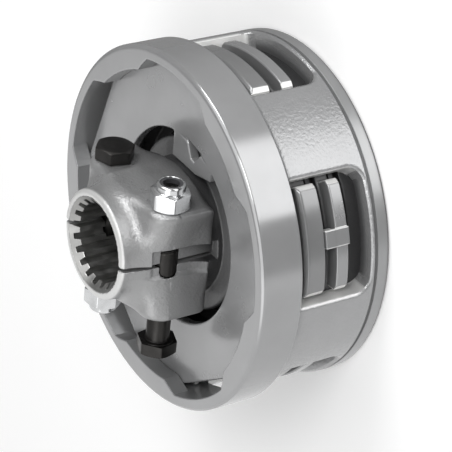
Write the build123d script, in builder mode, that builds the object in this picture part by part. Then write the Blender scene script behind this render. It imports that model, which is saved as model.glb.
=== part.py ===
from build123d import *
import math
import os

# Friction slip clutch of a driveline: a windowed drum carries a pressure plate and an
# intermediate plate, and clamps two lined drive plates that are keyed to a split hub.
# Millimetres. +Z runs along the shaft, out of the hub's nose. The origin is the centre of
# the drum's flat rear face, and +X points at the middle of one drum window.

# Clearances
slide_gap = 0.05
turning_gap = 0.1
loose_gap = 0.6

# Drum
window_count = 5
drum_radius = 89.2
drum_wall = 9.7
drum_depth = 54.0
rear_wall = 17.4
rear_edge_round = 2.5
groove_height = 7.4
groove_width = 1.0
groove_depth = 0.8
window_half_angle = 20.7
window_rear = 10.5
window_corner = 8.0
window_edge_break = 1.2

# Setting ring and its bayonet on the drum
ring_step = 3.8
ring_width = 23.0
ring_wall = 6.6
ring_angle = -2.0
ring_edge_break = 0.8
bayonet_height = 5.0
bayonet_lip = 3.0
bayonet_catch = 3.2
bayonet_half_angle = 13.0
recess_half_angle = 16.0
land_half_angle = 13.5
land_height = 6.1
land_thickness = 9.1

# Disc spring: a tab reaches inwards from the hole, given as depth from the hole's edge and angle
spring_thickness = 5.4
spring_hole = 50.2
spring_flat_depth = 6.4
spring_dish = 0.9
spring_corner = 3.0
tab_count = 2
tab_corner = 0.8
tab_outline = ((-2.0, 39.0), (4.7, 37.0), (12.7, 51.0), (14.4, 69.0), (13.2, 84.0), (-2.0, 80.0))
tab_window = ((-0.8, 52.0), (7.7, 56.0), (7.7, 60.0), (-0.8, 67.0))

# Friction pack
core_thickness = 2.4
lining_thickness = 1.8
lining_inset = 3.4
lining_hub_gap = 5.0
core_overhang = 1.2
intermediate_thickness = 7.4
pressure_thickness = 12.2
bore_inset = 1.5
lug_depth_below_drum = 2.4
lug_half_angle = 18.7
lug_front_bevel = 2.2
lug_end_angle = 2.0
lug_end_step = 1.6
fulcrum_reach = 9.5
fulcrum_width = 6.0
fulcrum_bevel = 1.5
bridge_half_angle = 2.9
bridge_rise = 0.9
bridge_thickness = 5.0
bridge_rear_overhang = 1.0
bridge_front_overhang = 5.2

# Hub
hub_angle = -19.2
nose_wall = 5.5
nose_stand = 36.8
nose_chamfer = 1.2
mouth_chamfer = 1.6
spline_minor = 20.1
spline_major = 22.5
spline_teeth = 20
spline_start = 24.0
groove_root_width = 2.8
groove_mouth_width = 3.9
relief_depth = 0.4
journal_wall = 4.1
journal_inset = 1.0
journal_chamfer = 1.0
tooth_height = 4.5
drive_root = 39.5
drive_teeth = 12
drive_tooth_half_angle = 7.0
drive_margin = 2.5
shoulder_gap = 2.5
shoulder_chamfer = 1.5
neck_gap = 0.8
neck_taper = 7.0
slit_width = 2.0
slit_depth = 49.8

# Split clamp of the hub
bolt_past_spline = 3.7
bolt_drop = 24.9
bolt_hole_radius = 6.4
clamp_boss_radius = 12.3
clamp_seat = 30.0
clamp_side_inset = 0.7
clamp_foot = 33.0
clamp_rear_gap = 1.2
clamp_corner = 2.0
flat_past_bolt = 4.0
flat_half_height = 9.0
flat_past_bolt_forwards = 10.0
valley_half_width = 12.0
nose_flat_wall = 3.3
nose_flat_gap = 0.3

# Clamp bolts and lock nuts, left loose as they come
bolt_radius = 6.0
bolt_length = 80.0
bolt_end_chamfer = 1.2
hex_flats = 18.0
hex_edge_break = 1.0
head_height = 7.5
nut_height = 13.0
nut_hex_height = 9.4
nut_collar_radius = 7.2
nut_collar_lip = 0.5
nut_play = 0.05
insert_height = 2.4
insert_wall = 2.4
insert_cover = 0.6
loose_engagement = 5.5
near_head_angle = 11.4
near_nut_angle = 11.4
far_head_angle = 12.0
far_nut_angle = 20.0

# Hub bearing in the rear wall
bush_wall = 3.0
bush_inset = 6.5
front_recess_depth = 1.8
washer_thickness = 1.9
front_washer_width = 9.7
rear_washer_width = 7.7
washer_play = 0.3
circlip_thickness = 2.0
circlip_groove_depth = 1.4
circlip_height = 4.5
circlip_gap_angle = 14.0
circlip_ear_radius = 3.0
circlip_ear_hole = 1.2

# Flange holes for the yoke
flange_hole_count = 6
flange_hole_radius = 4.25
flange_hole_inset = 24.2
flange_hole_depth = 11.0
flange_hole_start = 30.0

# Derived places, from the drum outwards and forwards
window_pitch = 360 / window_count
drum_inner = drum_radius - drum_wall
ring_radius = drum_radius + ring_step
ring_top = drum_depth + ring_width
ring_bore = ring_radius - ring_wall
land_radius = ring_bore - land_height
spring_front = ring_top - land_thickness - slide_gap
spring_rim = ring_bore - loose_gap
bayonet_neck = ring_bore - bayonet_catch
bayonet_head = ring_bore - 3 * turning_gap
lug_base = drum_depth + bayonet_height + turning_gap
lug_top = lug_base + bayonet_lip
flange_circle_radius = drum_radius - flange_hole_inset

# Derived places of the friction pack, from the rear wall forwards
disc_thickness = core_thickness + 2 * lining_thickness
rear_disc = rear_wall + slide_gap
intermediate_rear = rear_disc + disc_thickness + slide_gap
intermediate_front = intermediate_rear + intermediate_thickness
front_disc = intermediate_front + slide_gap
pressure_rear = front_disc + disc_thickness + slide_gap
pressure_front = pressure_rear + pressure_thickness
plate_outer = drum_inner - loose_gap
lug_radius = drum_radius - lug_depth_below_drum
lining_outer = plate_outer - lining_inset
drive_tip = drive_root + tooth_height
lining_inner = drive_tip + lining_hub_gap
plate_bore = lining_inner - bore_inset

# Derived places of the spring's seat on the pressure plate
cone_rim = spring_rim + 1
cone_slope = spring_dish / (spring_rim - spring_hole)
fulcrum_inner = plate_bore + fulcrum_reach - fulcrum_width / 2
fulcrum_outer = fulcrum_inner + fulcrum_width
fulcrum_top = spring_front - spring_thickness - cone_slope * (cone_rim - fulcrum_inner) - slide_gap

# Derived places of the hub and its bearing
relief_radius = spline_major + relief_depth
journal_radius = relief_radius + journal_wall
nose_radius = spline_major + nose_wall
bolt_offset = spline_major + bolt_past_spline
journal_play = journal_radius + slide_gap
bearing_radius = journal_play + bush_wall
front_recess = rear_wall - front_recess_depth
front_washer_radius = journal_radius + washer_play + front_washer_width
rear_washer_radius = journal_radius + washer_play + rear_washer_width
rear_recess_radius = rear_washer_radius + loose_gap
circlip_rear = bush_inset - washer_thickness - slide_gap - circlip_thickness
circlip_front = circlip_rear + circlip_thickness
circlip_seat = journal_radius - circlip_groove_depth
circlip_radius = journal_radius + circlip_height
drive_start = front_recess + washer_thickness + slide_gap
drive_end = pressure_rear + drive_margin
tab_tip_radius = spring_hole - max(depth for depth, angle in tab_outline)
tab_rear = spring_front - spring_thickness - cone_slope * (cone_rim - tab_tip_radius)
shoulder_radius = plate_bore - shoulder_gap
shoulder_end = tab_rear - 3 * turning_gap
neck_radius = tab_tip_radius - neck_gap
nose_top = ring_top + nose_stand
slit_end = nose_top - slit_depth
bolt_height = nose_top - bolt_drop
clamp_rear = spring_front + clamp_rear_gap
clamp_front = bolt_height + clamp_boss_radius
seat_reach = bolt_offset + clamp_boss_radius - clamp_side_inset
flat_reach = bolt_offset + flat_past_bolt
flat_end = bolt_height + flat_past_bolt_forwards
nose_flat_reach = spline_major + nose_flat_wall
nose_flat_start = clamp_front + nose_flat_gap
mouth_radius = spline_major + mouth_chamfer
mouth_depth = mouth_radius - spline_minor


def ray(radius, angle):
    """Point at a radius and an angle in degrees."""
    turn = math.radians(angle)
    return (radius * math.cos(turn), radius * math.sin(turn))


def sector(inner, outer, half_angle, middle=0.0):
    """Ring sector about the middle angle."""
    with BuildSketch() as outline:
        with BuildLine():
            CenterArc((0, 0), inner, middle - half_angle, 2 * half_angle)
            CenterArc((0, 0), outer, middle - half_angle, 2 * half_angle)
            for side in (-half_angle, half_angle):
                Line(ray(inner, middle + side), ray(outer, middle + side))
        make_face()
    return outline.sketch


def stepped_opening():
    """Opening of the setting ring's front: a deep recess over each window, lands between."""
    with BuildSketch() as outline:
        with BuildLine():
            for i in range(window_count):
                middle = ring_angle + i * window_pitch
                recess_end = middle + recess_half_angle
                land_start = middle + window_pitch / 2 - land_half_angle
                land_end = land_start + 2 * land_half_angle
                next_recess = middle + window_pitch - recess_half_angle
                CenterArc((0, 0), ring_bore, middle - recess_half_angle, 2 * recess_half_angle)
                Line(ray(ring_bore, recess_end), ray(land_radius, land_start))
                CenterArc((0, 0), land_radius, land_start, 2 * land_half_angle)
                Line(ray(land_radius, land_end), ray(ring_bore, next_recess))
        make_face()
    return outline.sketch


def spring_outline():
    """Outline of the disc spring: lobes under the ring's lands and a straight flat at each recess."""
    flat_centre = spring_rim - spring_flat_depth + 2 * spring_rim
    with BuildSketch() as outline:
        Circle(spring_rim)
        for i in range(window_count):
            turn = ring_angle + i * window_pitch
            with Locations(Location(ray(flat_centre, turn) + (0,), (0, 0, turn))):
                Rectangle(4 * spring_rim, 4 * spring_rim, mode=Mode.SUBTRACT)
        fillet(outline.vertices(), spring_corner)
        Circle(spring_hole, mode=Mode.SUBTRACT)
    return outline.sketch


def tab_face(points, turn):
    """Face through points given as depth from the spring's hole and angle."""
    with BuildSketch() as outline:
        with BuildLine():
            Polyline(*[ray(spring_hole - depth, angle + turn) for depth, angle in points], close=True)
        make_face()
        fillet(outline.vertices(), tab_corner)
    return outline.sketch


def toothed_core():
    """Drive plate's outline: round outside, inside toothed to slide on the hub."""
    with BuildSketch() as outline:
        Circle(lining_outer + core_overhang)
        Circle(drive_root + turning_gap, mode=Mode.SUBTRACT)
        play_angle = math.degrees(turning_gap / drive_root)
        for i in range(drive_teeth):
            add(sector(drive_root / 2, drive_tip + turning_gap, drive_tooth_half_angle + play_angle,
                       i * 360 / drive_teeth), mode=Mode.SUBTRACT)
    return outline.sketch


os.makedirs("parts", exist_ok=True)

# One window, cut out of the drum's wall: open to the front, rounded at the rear
window_face = sector(drum_inner - loose_gap / 2, 2 * drum_radius, window_half_angle)
with BuildPart() as window_cutter:
    with BuildSketch(Plane.XY.offset(window_rear)):
        add(window_face)
    extrude(amount=ring_top - window_rear)
    fillet(window_cutter.edges().filter_by(GeomType.LINE).group_by(Axis.Z)[0], window_corner)

# Drum: rear wall, wall with five windows, bayonet lugs on the five columns
round_step = rear_edge_round * (1 - math.cos(math.radians(45)))
with BuildPart() as drum_housing:
    with BuildSketch(Plane.XZ):
        with BuildLine():
            Polyline(
                (bearing_radius, bush_inset), (rear_recess_radius, bush_inset), (rear_recess_radius, 0),
                (drum_radius - rear_edge_round, 0), (drum_radius - round_step, round_step),
                (drum_radius, rear_edge_round), (drum_radius, groove_height),
                (drum_radius - groove_depth, groove_height),
                (drum_radius - groove_depth, groove_height + groove_width),
                (drum_radius, groove_height + groove_width), (drum_radius, drum_depth),
                (bayonet_neck, drum_depth), (bayonet_neck, lug_base), (bayonet_head, lug_base),
                (bayonet_head, lug_top), (drum_inner, lug_top), (drum_inner, rear_wall),
                (front_washer_radius + loose_gap, rear_wall), (front_washer_radius + loose_gap, front_recess),
                (bearing_radius, front_recess), close=True)
        make_face()
    revolve(axis=Axis.Z)
    with PolarLocations(0, window_count):
        add(window_cutter.part, mode=Mode.SUBTRACT)
    rim = [e for e in drum_housing.edges()
           if window_rear - 0.01 < e.bounding_box().min.Z < drum_depth - 0.5
           and all(abs(math.hypot(v.X, v.Y) - drum_radius) < 0.01 for v in e.vertices())]
    chamfer(rim, window_edge_break)
    with BuildSketch():
        with PolarLocations(flange_circle_radius, flange_hole_count, start_angle=flange_hole_start):
            Circle(flange_hole_radius)
    extrude(amount=flange_hole_depth, mode=Mode.SUBTRACT)
drum_housing.part.label = "drum_housing"
export_step(drum_housing.part, "parts/drum_housing.step")

# Setting ring: five rear lugs hook behind the drum's lugs, five front lands hold the spring
front_opening = stepped_opening()
with BuildPart() as setting_ring:
    with BuildSketch(Plane.XY.offset(drum_depth)):
        Circle(ring_radius)
        Circle(ring_bore, mode=Mode.SUBTRACT)
        for i in range(window_count):
            add(sector(bayonet_neck + 3 * turning_gap, ring_bore + ring_wall / 2, bayonet_half_angle,
                       ring_angle + (i + 0.5) * window_pitch))
    extrude(amount=bayonet_height)
    with BuildSketch(Plane.XY.offset(drum_depth + bayonet_height)):
        Circle(ring_radius)
        Circle(ring_bore, mode=Mode.SUBTRACT)
    extrude(amount=ring_width - bayonet_height - land_thickness)
    with BuildSketch(Plane.XY.offset(ring_top - land_thickness)):
        Circle(ring_radius)
        add(front_opening, mode=Mode.SUBTRACT)
    extrude(amount=land_thickness)
    chamfer(setting_ring.edges().filter_by(GeomType.CIRCLE).group_by(Axis.Z)[-1].sort_by(SortBy.RADIUS)[-1],
            ring_edge_break)
setting_ring.part.label = "setting_ring"
export_step(setting_ring.part, "parts/setting_ring.step")

# Disc spring: a shallow cone, trimmed to its outline, with inner tabs
spring_face = spring_outline()
tab_faces = [tab_face(tab_outline, i * 360 / tab_count) for i in range(tab_count)]
tab_openings = [tab_face(tab_window, i * 360 / tab_count) for i in range(tab_count)]
cone_inner = spring_hole - 2 * max(depth for depth, angle in tab_outline)
cone_drop = cone_slope * (cone_rim - cone_inner)
with BuildPart() as disc_spring:
    with BuildSketch(Plane.XZ):
        with BuildLine():
            Polyline((cone_inner, spring_front - cone_drop), (cone_rim, spring_front),
                     (cone_rim, spring_front - spring_thickness),
                     (cone_inner, spring_front - cone_drop - spring_thickness), close=True)
        make_face()
    revolve(axis=Axis.Z)
    with BuildSketch(Plane.XY.offset(spring_front - 3 * spring_thickness)):
        add(spring_face)
        add(tab_faces)
        add(tab_openings, mode=Mode.SUBTRACT)
    extrude(amount=4 * spring_thickness, mode=Mode.INTERSECT)
disc_spring.part.label = "disc_spring"
export_step(disc_spring.part, "parts/disc_spring.step")

# Lug outlines shared by the two plates: full height in the middle, stepped at both ends
lug_body = sector(plate_outer - lug_end_step, lug_radius, lug_half_angle - lug_end_angle)
lug_shoulders = sector(plate_outer - lug_end_step, lug_radius - lug_end_step, lug_half_angle)

# Intermediate plate, with the bridge bar on the lug of one window
bridge_back = sector(lug_radius - bridge_rise, lug_radius + bridge_rise, bridge_half_angle)
bridge_nose = sector(lug_radius - bridge_thickness, lug_radius + bridge_rise, bridge_half_angle)
with BuildPart() as intermediate_plate:
    with BuildSketch(Plane.XY.offset(intermediate_rear)):
        Circle(plate_outer)
        with PolarLocations(0, window_count):
            add(lug_body)
            add(lug_shoulders)
        Circle(plate_bore, mode=Mode.SUBTRACT)
    extrude(amount=intermediate_thickness)
    with BuildSketch(Plane.XY.offset(intermediate_rear - bridge_rear_overhang)):
        add(bridge_back)
    extrude(amount=intermediate_thickness + bridge_rear_overhang)
    with BuildSketch(Plane.XY.offset(intermediate_front)):
        add(bridge_nose)
    extrude(amount=bridge_front_overhang)
intermediate_plate.part.label = "intermediate_plate"
export_step(intermediate_plate.part, "parts/intermediate_plate.step")

# Pressure plate: lugs bevelled towards the ring, and a raised ring that the spring presses on
with BuildPart() as lug_bevel:
    with BuildSketch(Plane.XZ):
        with BuildLine():
            Polyline((lug_radius - lug_front_bevel, pressure_front), (lug_radius + 1, pressure_front),
                     (lug_radius + 1, pressure_front - lug_front_bevel - 1), close=True)
        make_face()
    revolve(axis=Axis.Z)
with BuildPart() as pressure_plate:
    with BuildSketch(Plane.XY.offset(pressure_rear)):
        Circle(plate_outer)
        with PolarLocations(0, window_count):
            add(lug_body)
            add(lug_shoulders)
        Circle(plate_bore, mode=Mode.SUBTRACT)
    extrude(amount=pressure_thickness)
    add(lug_bevel.part, mode=Mode.SUBTRACT)
    with BuildSketch(Plane.XZ):
        with BuildLine():
            Polyline((fulcrum_inner, pressure_front), (fulcrum_inner, fulcrum_top - fulcrum_bevel),
                     (fulcrum_inner + fulcrum_bevel, fulcrum_top),
                     (fulcrum_outer - fulcrum_bevel, fulcrum_top),
                     (fulcrum_outer, fulcrum_top - fulcrum_bevel),
                     (fulcrum_outer, pressure_front), close=True)
        make_face()
    revolve(axis=Axis.Z)
pressure_plate.part.label = "pressure_plate"
export_step(pressure_plate.part, "parts/pressure_plate.step")

# Two drive plates, each a toothed steel core between two friction linings
core_face = toothed_core()
for name, rear in (("rear", rear_disc), ("front", front_disc)):
    with BuildPart() as drive_plate:
        with BuildSketch(Plane.XY.offset(rear + lining_thickness)):
            add(core_face)
        extrude(amount=core_thickness)
    drive_plate.part.label = name + "_drive_plate"
    export_step(drive_plate.part, "parts/" + name + "_drive_plate.step")
    for side, start in (("rear", rear), ("front", rear + lining_thickness + core_thickness)):
        with BuildPart() as lining:
            with BuildSketch(Plane.XY.offset(start)):
                Circle(lining_outer)
                Circle(lining_inner, mode=Mode.SUBTRACT)
            extrude(amount=lining_thickness)
        lining.part.label = name + "_plate_" + side + "_lining"
        export_step(lining.part, "parts/" + name + "_plate_" + side + "_lining.step")

# Hub, turned shape: journal with its groove, toothed part, shoulder and nose
with BuildPart() as hub_core:
    with BuildSketch(Plane.XZ):
        with BuildLine():
            Polyline(
                (0, journal_inset), (journal_radius - journal_chamfer, journal_inset),
                (journal_radius, journal_inset + journal_chamfer),
                (journal_radius, circlip_rear - slide_gap / 2),
                (circlip_seat, circlip_rear - slide_gap / 2), (circlip_seat, circlip_front + slide_gap / 2),
                (journal_radius, circlip_front + slide_gap / 2), (journal_radius, drive_start),
                (drive_root, drive_start), (drive_root, drive_end), (shoulder_radius, drive_end),
                (shoulder_radius, shoulder_end - shoulder_chamfer),
                (shoulder_radius - shoulder_chamfer, shoulder_end), (neck_radius, shoulder_end),
                (neck_radius, clamp_rear), (nose_radius, clamp_rear + neck_taper),
                (nose_radius, nose_top - nose_chamfer), (nose_radius - nose_chamfer, nose_top),
                (0, nose_top), close=True)
        make_face()
    revolve(axis=Axis.Z)
    with BuildSketch(Plane.XY.offset(drive_start)):
        for i in range(drive_teeth):
            add(sector(drive_root / 2, drive_tip, drive_tooth_half_angle, i * 360 / drive_teeth))
    extrude(amount=drive_end - drive_start)

# Clamp section across the shaft, x along the slit: tapered flanks, seats, a shallow valley between
along_slit = Vector(*ray(1, hub_angle), 0)
along_bolts = Vector(*ray(1, hub_angle + 90), 0)
across = Plane(origin=(0, 0, 0), x_dir=along_slit, z_dir=(0, 0, 1))
right_flank = ((seat_reach, -clamp_seat), (clamp_foot, -flat_half_height),
               (clamp_foot, flat_half_height), (seat_reach, clamp_seat))
left_flank = [(-x, -y) for x, y in right_flank]
with BuildPart() as clamp_section:
    with BuildSketch(across.offset(clamp_rear)) as section_sketch:
        with BuildLine():
            for sign, flank in ((1, right_flank), (-1, left_flank)):
                valley_edge = (sign * valley_half_width, sign * clamp_seat)
                Polyline((valley_edge[0], -valley_edge[1]), *flank, valley_edge)
                ThreePointArc(valley_edge, (0, sign * nose_radius), (-valley_edge[0], valley_edge[1]))
        make_face()
        fillet([v for v in section_sketch.vertices() if math.hypot(v.X, v.Y) > seat_reach], clamp_corner)
    extrude(amount=nose_top - clamp_rear)

# Clamp side view, along a bolt: each boss is rounded about its bolt
bolt_plane = Plane(origin=(0, 0, 0), x_dir=along_slit, z_dir=along_bolts)
up = bolt_plane.to_local_coords(Vector(0, 0, 1)).Y
bolt_points = [(side * bolt_offset, up * bolt_height) for side in (-1, 1)]
with BuildPart() as clamp_blocks:
    with BuildSketch(bolt_plane.offset(-clamp_seat)):
        with Locations((0, up * (clamp_rear + bolt_height) / 2)):
            Rectangle(2 * (bolt_offset + clamp_boss_radius), bolt_height - clamp_rear)
        with Locations((0, up * bolt_height)):
            Rectangle(2 * bolt_offset, 2 * clamp_boss_radius)
        with Locations(*bolt_points):
            Circle(clamp_boss_radius)
    extrude(amount=2 * clamp_seat)
    add(clamp_section.part, mode=Mode.INTERSECT)

# Tools for the bore: the spline, the mouth's chamfer, the slit, the flats beside it, the bolt holes
with BuildPart() as spline_tool:
    with BuildSketch(across.offset(spline_start)):
        Circle(spline_minor)
        with PolarLocations(0, spline_teeth):
            Polygon((spline_minor - 1, -groove_mouth_width / 2), (spline_major, -groove_root_width / 2),
                    (spline_major, groove_root_width / 2), (spline_minor - 1, groove_mouth_width / 2),
                    align=None)
    extrude(amount=nose_top - spline_start)

with BuildPart() as mouth_tool:
    with BuildSketch(Plane.XZ):
        with BuildLine():
            Polyline((0, nose_top - mouth_depth), (spline_minor, nose_top - mouth_depth),
                     (mouth_radius, nose_top), (mouth_radius, nose_top + 1), (0, nose_top + 1), close=True)
        make_face()
    revolve(axis=Axis.Z)

with BuildPart() as slit_tool:
    with BuildSketch(across.offset(slit_end)):
        Rectangle(4 * nose_radius, slit_width)
    extrude(amount=slit_depth + 1)

with BuildPart() as flat_tool:
    with BuildSketch(across.offset(slit_end)):
        for side in (-1, 1):
            with Locations((side * (flat_reach + nose_radius), 0)):
                Rectangle(2 * nose_radius, 2 * flat_half_height)
    extrude(amount=flat_end - slit_end)
    with BuildSketch(across.offset(nose_flat_start)):
        for side in (-1, 1):
            with Locations((side * (nose_flat_reach + nose_radius), 0)):
                Rectangle(2 * nose_radius, 2 * nose_radius)
    extrude(amount=nose_top + 1 - nose_flat_start)

with BuildPart() as bolt_hole_tool:
    with BuildSketch(bolt_plane.offset(-2 * clamp_seat)):
        with Locations(*bolt_points):
            Circle(bolt_hole_radius)
    extrude(amount=4 * clamp_seat)

with BuildPart() as clamp_hub:
    add(hub_core.part)
    add(clamp_blocks.part)
    add(spline_tool.part, mode=Mode.SUBTRACT)
    with BuildSketch():
        Circle(relief_radius)
    extrude(amount=spline_start, mode=Mode.SUBTRACT)
    add(mouth_tool.part, mode=Mode.SUBTRACT)
    add(slit_tool.part, mode=Mode.SUBTRACT)
    add(flat_tool.part, mode=Mode.SUBTRACT)
    add(bolt_hole_tool.part, mode=Mode.SUBTRACT)
clamp_hub.part.label = "clamp_hub"
export_step(clamp_hub.part, "parts/clamp_hub.step")

# Bolt, nut and insert, drawn upright: the outer end of each hexagon has its corners turned down
hex_corner = hex_flats / math.sqrt(3)
hex_bevel = hex_edge_break * math.tan(math.radians(30))
with BuildPart() as bolt_shape:
    with BuildSketch(Plane.XZ):
        with BuildLine():
            Polyline((0, -head_height), (hex_corner - hex_edge_break, -head_height),
                     (hex_corner, hex_bevel - head_height), (hex_corner, 0), (0, 0), close=True)
        make_face()
    revolve(axis=Axis.Z)
    with BuildSketch(Plane.XY.offset(-head_height)):
        RegularPolygon(hex_corner, 6)
    extrude(amount=head_height, mode=Mode.INTERSECT)
    with BuildSketch():
        Circle(bolt_radius)
    extrude(amount=bolt_length)
    chamfer(bolt_shape.edges().group_by(Axis.Z)[-1], bolt_end_chamfer)

insert_seat = nut_height - nut_collar_lip - insert_height
insert_radius = nut_collar_radius - insert_cover
with BuildPart() as nut_shape:
    with BuildSketch(Plane.XZ):
        with BuildLine():
            Polyline((0, 0), (hex_corner, 0), (hex_corner, nut_hex_height - hex_bevel),
                     (hex_corner - hex_edge_break, nut_hex_height), (0, nut_hex_height), close=True)
        make_face()
    revolve(axis=Axis.Z)
    with BuildSketch():
        RegularPolygon(hex_corner, 6)
    extrude(amount=nut_height, mode=Mode.INTERSECT)
    with BuildSketch():
        Circle(nut_collar_radius)
    extrude(amount=nut_height)
    chamfer(nut_shape.edges().group_by(Axis.Z)[-1], nut_collar_lip)
    with BuildSketch():
        Circle(bolt_radius + nut_play)
    extrude(amount=nut_height, mode=Mode.SUBTRACT)
    with BuildSketch(Plane.XY.offset(insert_seat)):
        Circle(insert_radius)
    extrude(amount=insert_height, mode=Mode.SUBTRACT)

with BuildPart() as insert_shape:
    with BuildSketch(Plane.XY.offset(insert_seat)):
        Circle(insert_radius)
        Circle(insert_radius - insert_wall, mode=Mode.SUBTRACT)
    extrude(amount=insert_height)

# Near bolt: nut seated, head hanging free. Far bolt: head seated, nut just started.
near_head_at = clamp_seat + loose_engagement - bolt_length
far_nut_at = bolt_length - clamp_seat - loose_engagement
for name, side, head_at, nut_at, head_turn, nut_turn in (
        ("near", 1, near_head_at, clamp_seat, near_head_angle, near_nut_angle),
        ("far", -1, -clamp_seat, far_nut_at, far_head_angle, far_nut_angle)):
    bolt_line = Plane(origin=along_slit * side * bolt_offset + Vector(0, 0, bolt_height),
                      x_dir=(0, 0, 1), z_dir=along_bolts * side).location
    with BuildPart() as clamp_bolt:
        with Locations(bolt_line * Location((0, 0, head_at), (0, 0, head_turn))):
            add(bolt_shape.part)
    clamp_bolt.part.label = name + "_clamp_bolt"
    export_step(clamp_bolt.part, "parts/" + name + "_clamp_bolt.step")
    with BuildPart() as lock_nut:
        with Locations(bolt_line * Location((0, 0, nut_at), (0, 0, nut_turn))):
            add(nut_shape.part)
    lock_nut.part.label = name + "_lock_nut"
    export_step(lock_nut.part, "parts/" + name + "_lock_nut.step")
    with BuildPart() as nut_insert:
        with Locations(bolt_line * Location((0, 0, nut_at))):
            add(insert_shape.part)
    nut_insert.part.label = name + "_nut_insert"
    export_step(nut_insert.part, "parts/" + name + "_nut_insert.step")

# Bearing of the hub in the rear wall: bush, washer on each side, retaining ring
with BuildPart() as hub_bush:
    with BuildSketch(Plane.XY.offset(bush_inset)):
        Circle(bearing_radius)
        Circle(journal_play, mode=Mode.SUBTRACT)
    extrude(amount=front_recess - bush_inset)
hub_bush.part.label = "hub_bush"
export_step(hub_bush.part, "parts/hub_bush.step")

for name, rear, radius in (("front", front_recess, front_washer_radius),
                           ("rear", bush_inset - washer_thickness, rear_washer_radius)):
    with BuildPart() as thrust_washer:
        with BuildSketch(Plane.XY.offset(rear)):
            Circle(radius)
            Circle(journal_radius + washer_play, mode=Mode.SUBTRACT)
        extrude(amount=washer_thickness)
    thrust_washer.part.label = name + "_thrust_washer"
    export_step(thrust_washer.part, "parts/" + name + "_thrust_washer.step")

circlip_opening = sector(circlip_seat / 2, 2 * circlip_radius, circlip_gap_angle / 2)
ear_reach = circlip_radius - circlip_ear_radius / 2
ear_points = [ray(ear_reach, turn) for turn in (-circlip_gap_angle, circlip_gap_angle)]
with BuildPart() as retaining_ring:
    with BuildSketch(Plane.XY.offset(circlip_rear)):
        Circle(circlip_radius)
        with Locations(*ear_points):
            Circle(circlip_ear_radius)
        Circle(circlip_seat + slide_gap, mode=Mode.SUBTRACT)
        add(circlip_opening, mode=Mode.SUBTRACT)
        with Locations(*ear_points):
            Circle(circlip_ear_hole, mode=Mode.SUBTRACT)
    extrude(amount=circlip_thickness)
retaining_ring.part.label = "retaining_ring"
export_step(retaining_ring.part, "parts/retaining_ring.step")
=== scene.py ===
import math

import bpy
import numpy as np
from mathutils import Matrix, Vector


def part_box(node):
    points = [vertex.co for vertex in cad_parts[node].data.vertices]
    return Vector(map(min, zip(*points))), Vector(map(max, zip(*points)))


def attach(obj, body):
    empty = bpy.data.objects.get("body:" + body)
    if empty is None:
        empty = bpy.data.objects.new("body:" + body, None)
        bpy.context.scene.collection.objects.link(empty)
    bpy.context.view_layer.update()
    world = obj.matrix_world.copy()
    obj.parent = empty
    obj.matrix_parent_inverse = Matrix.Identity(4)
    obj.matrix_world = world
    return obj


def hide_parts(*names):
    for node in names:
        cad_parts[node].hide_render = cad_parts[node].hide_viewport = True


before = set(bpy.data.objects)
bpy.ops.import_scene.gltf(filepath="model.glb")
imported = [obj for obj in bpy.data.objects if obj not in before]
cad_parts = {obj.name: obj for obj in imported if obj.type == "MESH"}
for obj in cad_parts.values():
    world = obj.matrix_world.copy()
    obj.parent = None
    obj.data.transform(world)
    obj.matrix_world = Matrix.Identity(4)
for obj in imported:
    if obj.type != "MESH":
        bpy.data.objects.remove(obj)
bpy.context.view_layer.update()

bl_info = {
    "name": "Friction slip clutch",
    "version": (1, 0, 0),
    "blender": (4, 5, 0),
    "location": "View3D > Sidebar > Clutch",
    "description": "Dresses the packed solids of a slip clutch with castings, threads and paint",
    "category": "Object",
}

MM = 0.001


def reach(node):
    """Largest distance of a CAD node from the shaft axis along X or Y, in millimetres."""
    low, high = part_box(node)
    return max(high.x, high.y, -low.x, -low.y) / MM


def span(node):
    """Rear and front height of a CAD node, in millimetres."""
    low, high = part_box(node)
    return low.z / MM, high.z / MM


# Sizes are in millimetres, heights are above the drum's rear face, and a size that ends in _TURN
# is in degrees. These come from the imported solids:
DRUM_R = reach("drum_housing")
RING_R = reach("setting_ring")
RING_REAR, RING_TOP = span("setting_ring")
LUG_TOP = span("drum_housing")[1]
NOSE_TOP = span("clamp_hub")[1]
PLATE_REAR = span("intermediate_plate")[0] + 1.0
PRESSURE_REAR = span("pressure_plate")[0]

# Drum
DRUM_IN = DRUM_R - 9.7
REAR_WALL = 17.4
FLOOR_FILLET = 1.2
REAR_ROUND = 2.6
WINDOWS = 5
PITCH = 2 * math.pi / WINDOWS
WINDOW_TURN = 20.7
WINDOW_REAR = 10.5
WINDOW_CORNER = 8.0
LIP_R = 83.2
HEAD_R = 86.1
NECK_REAR = RING_REAR - 4.0
LUG_BASE = 59.1
GROOVE_Z = 7.9
GROOVE = 0.9
RELIEF = 0.6
RELIEF_REAR, RELIEF_FRONT = RING_REAR - 5.0, RING_REAR - 1.5
BEARING_R = 30.05
FRONT_RECESS_R, FRONT_RECESS = 37.6, 15.6
REAR_RECESS_R, BUSH_REAR = 35.6, 6.5
FLANGE_HOLES = 6
FLANGE_CIRCLE = 65.0
FLANGE_HOLE_R, FLANGE_HOLE_DEPTH, FLANGE_BEVEL = 4.25, 11.0, 1.0

# Setting ring
RING_BORE = RING_R - 6.6
RING_SKIN = 1.5
RING_SHIFT_TURN = -2.0
RING_SHIFT = math.radians(RING_SHIFT_TURN)
MOUTH_TURN = 16.0
SLANT_TURN = 6.5
SLANT_RUN = 9.6
LAND_STEP = 6.1
LAND_R = RING_BORE - LAND_STEP
LAND_REAR = RING_TOP - 9.1
RING_LUG_IN = LIP_R + 0.3
RING_LUG_FRONT = RING_REAR + 5.0
RING_LUG_TURN = 13.0
RING_LUG_R = 85.0

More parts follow.
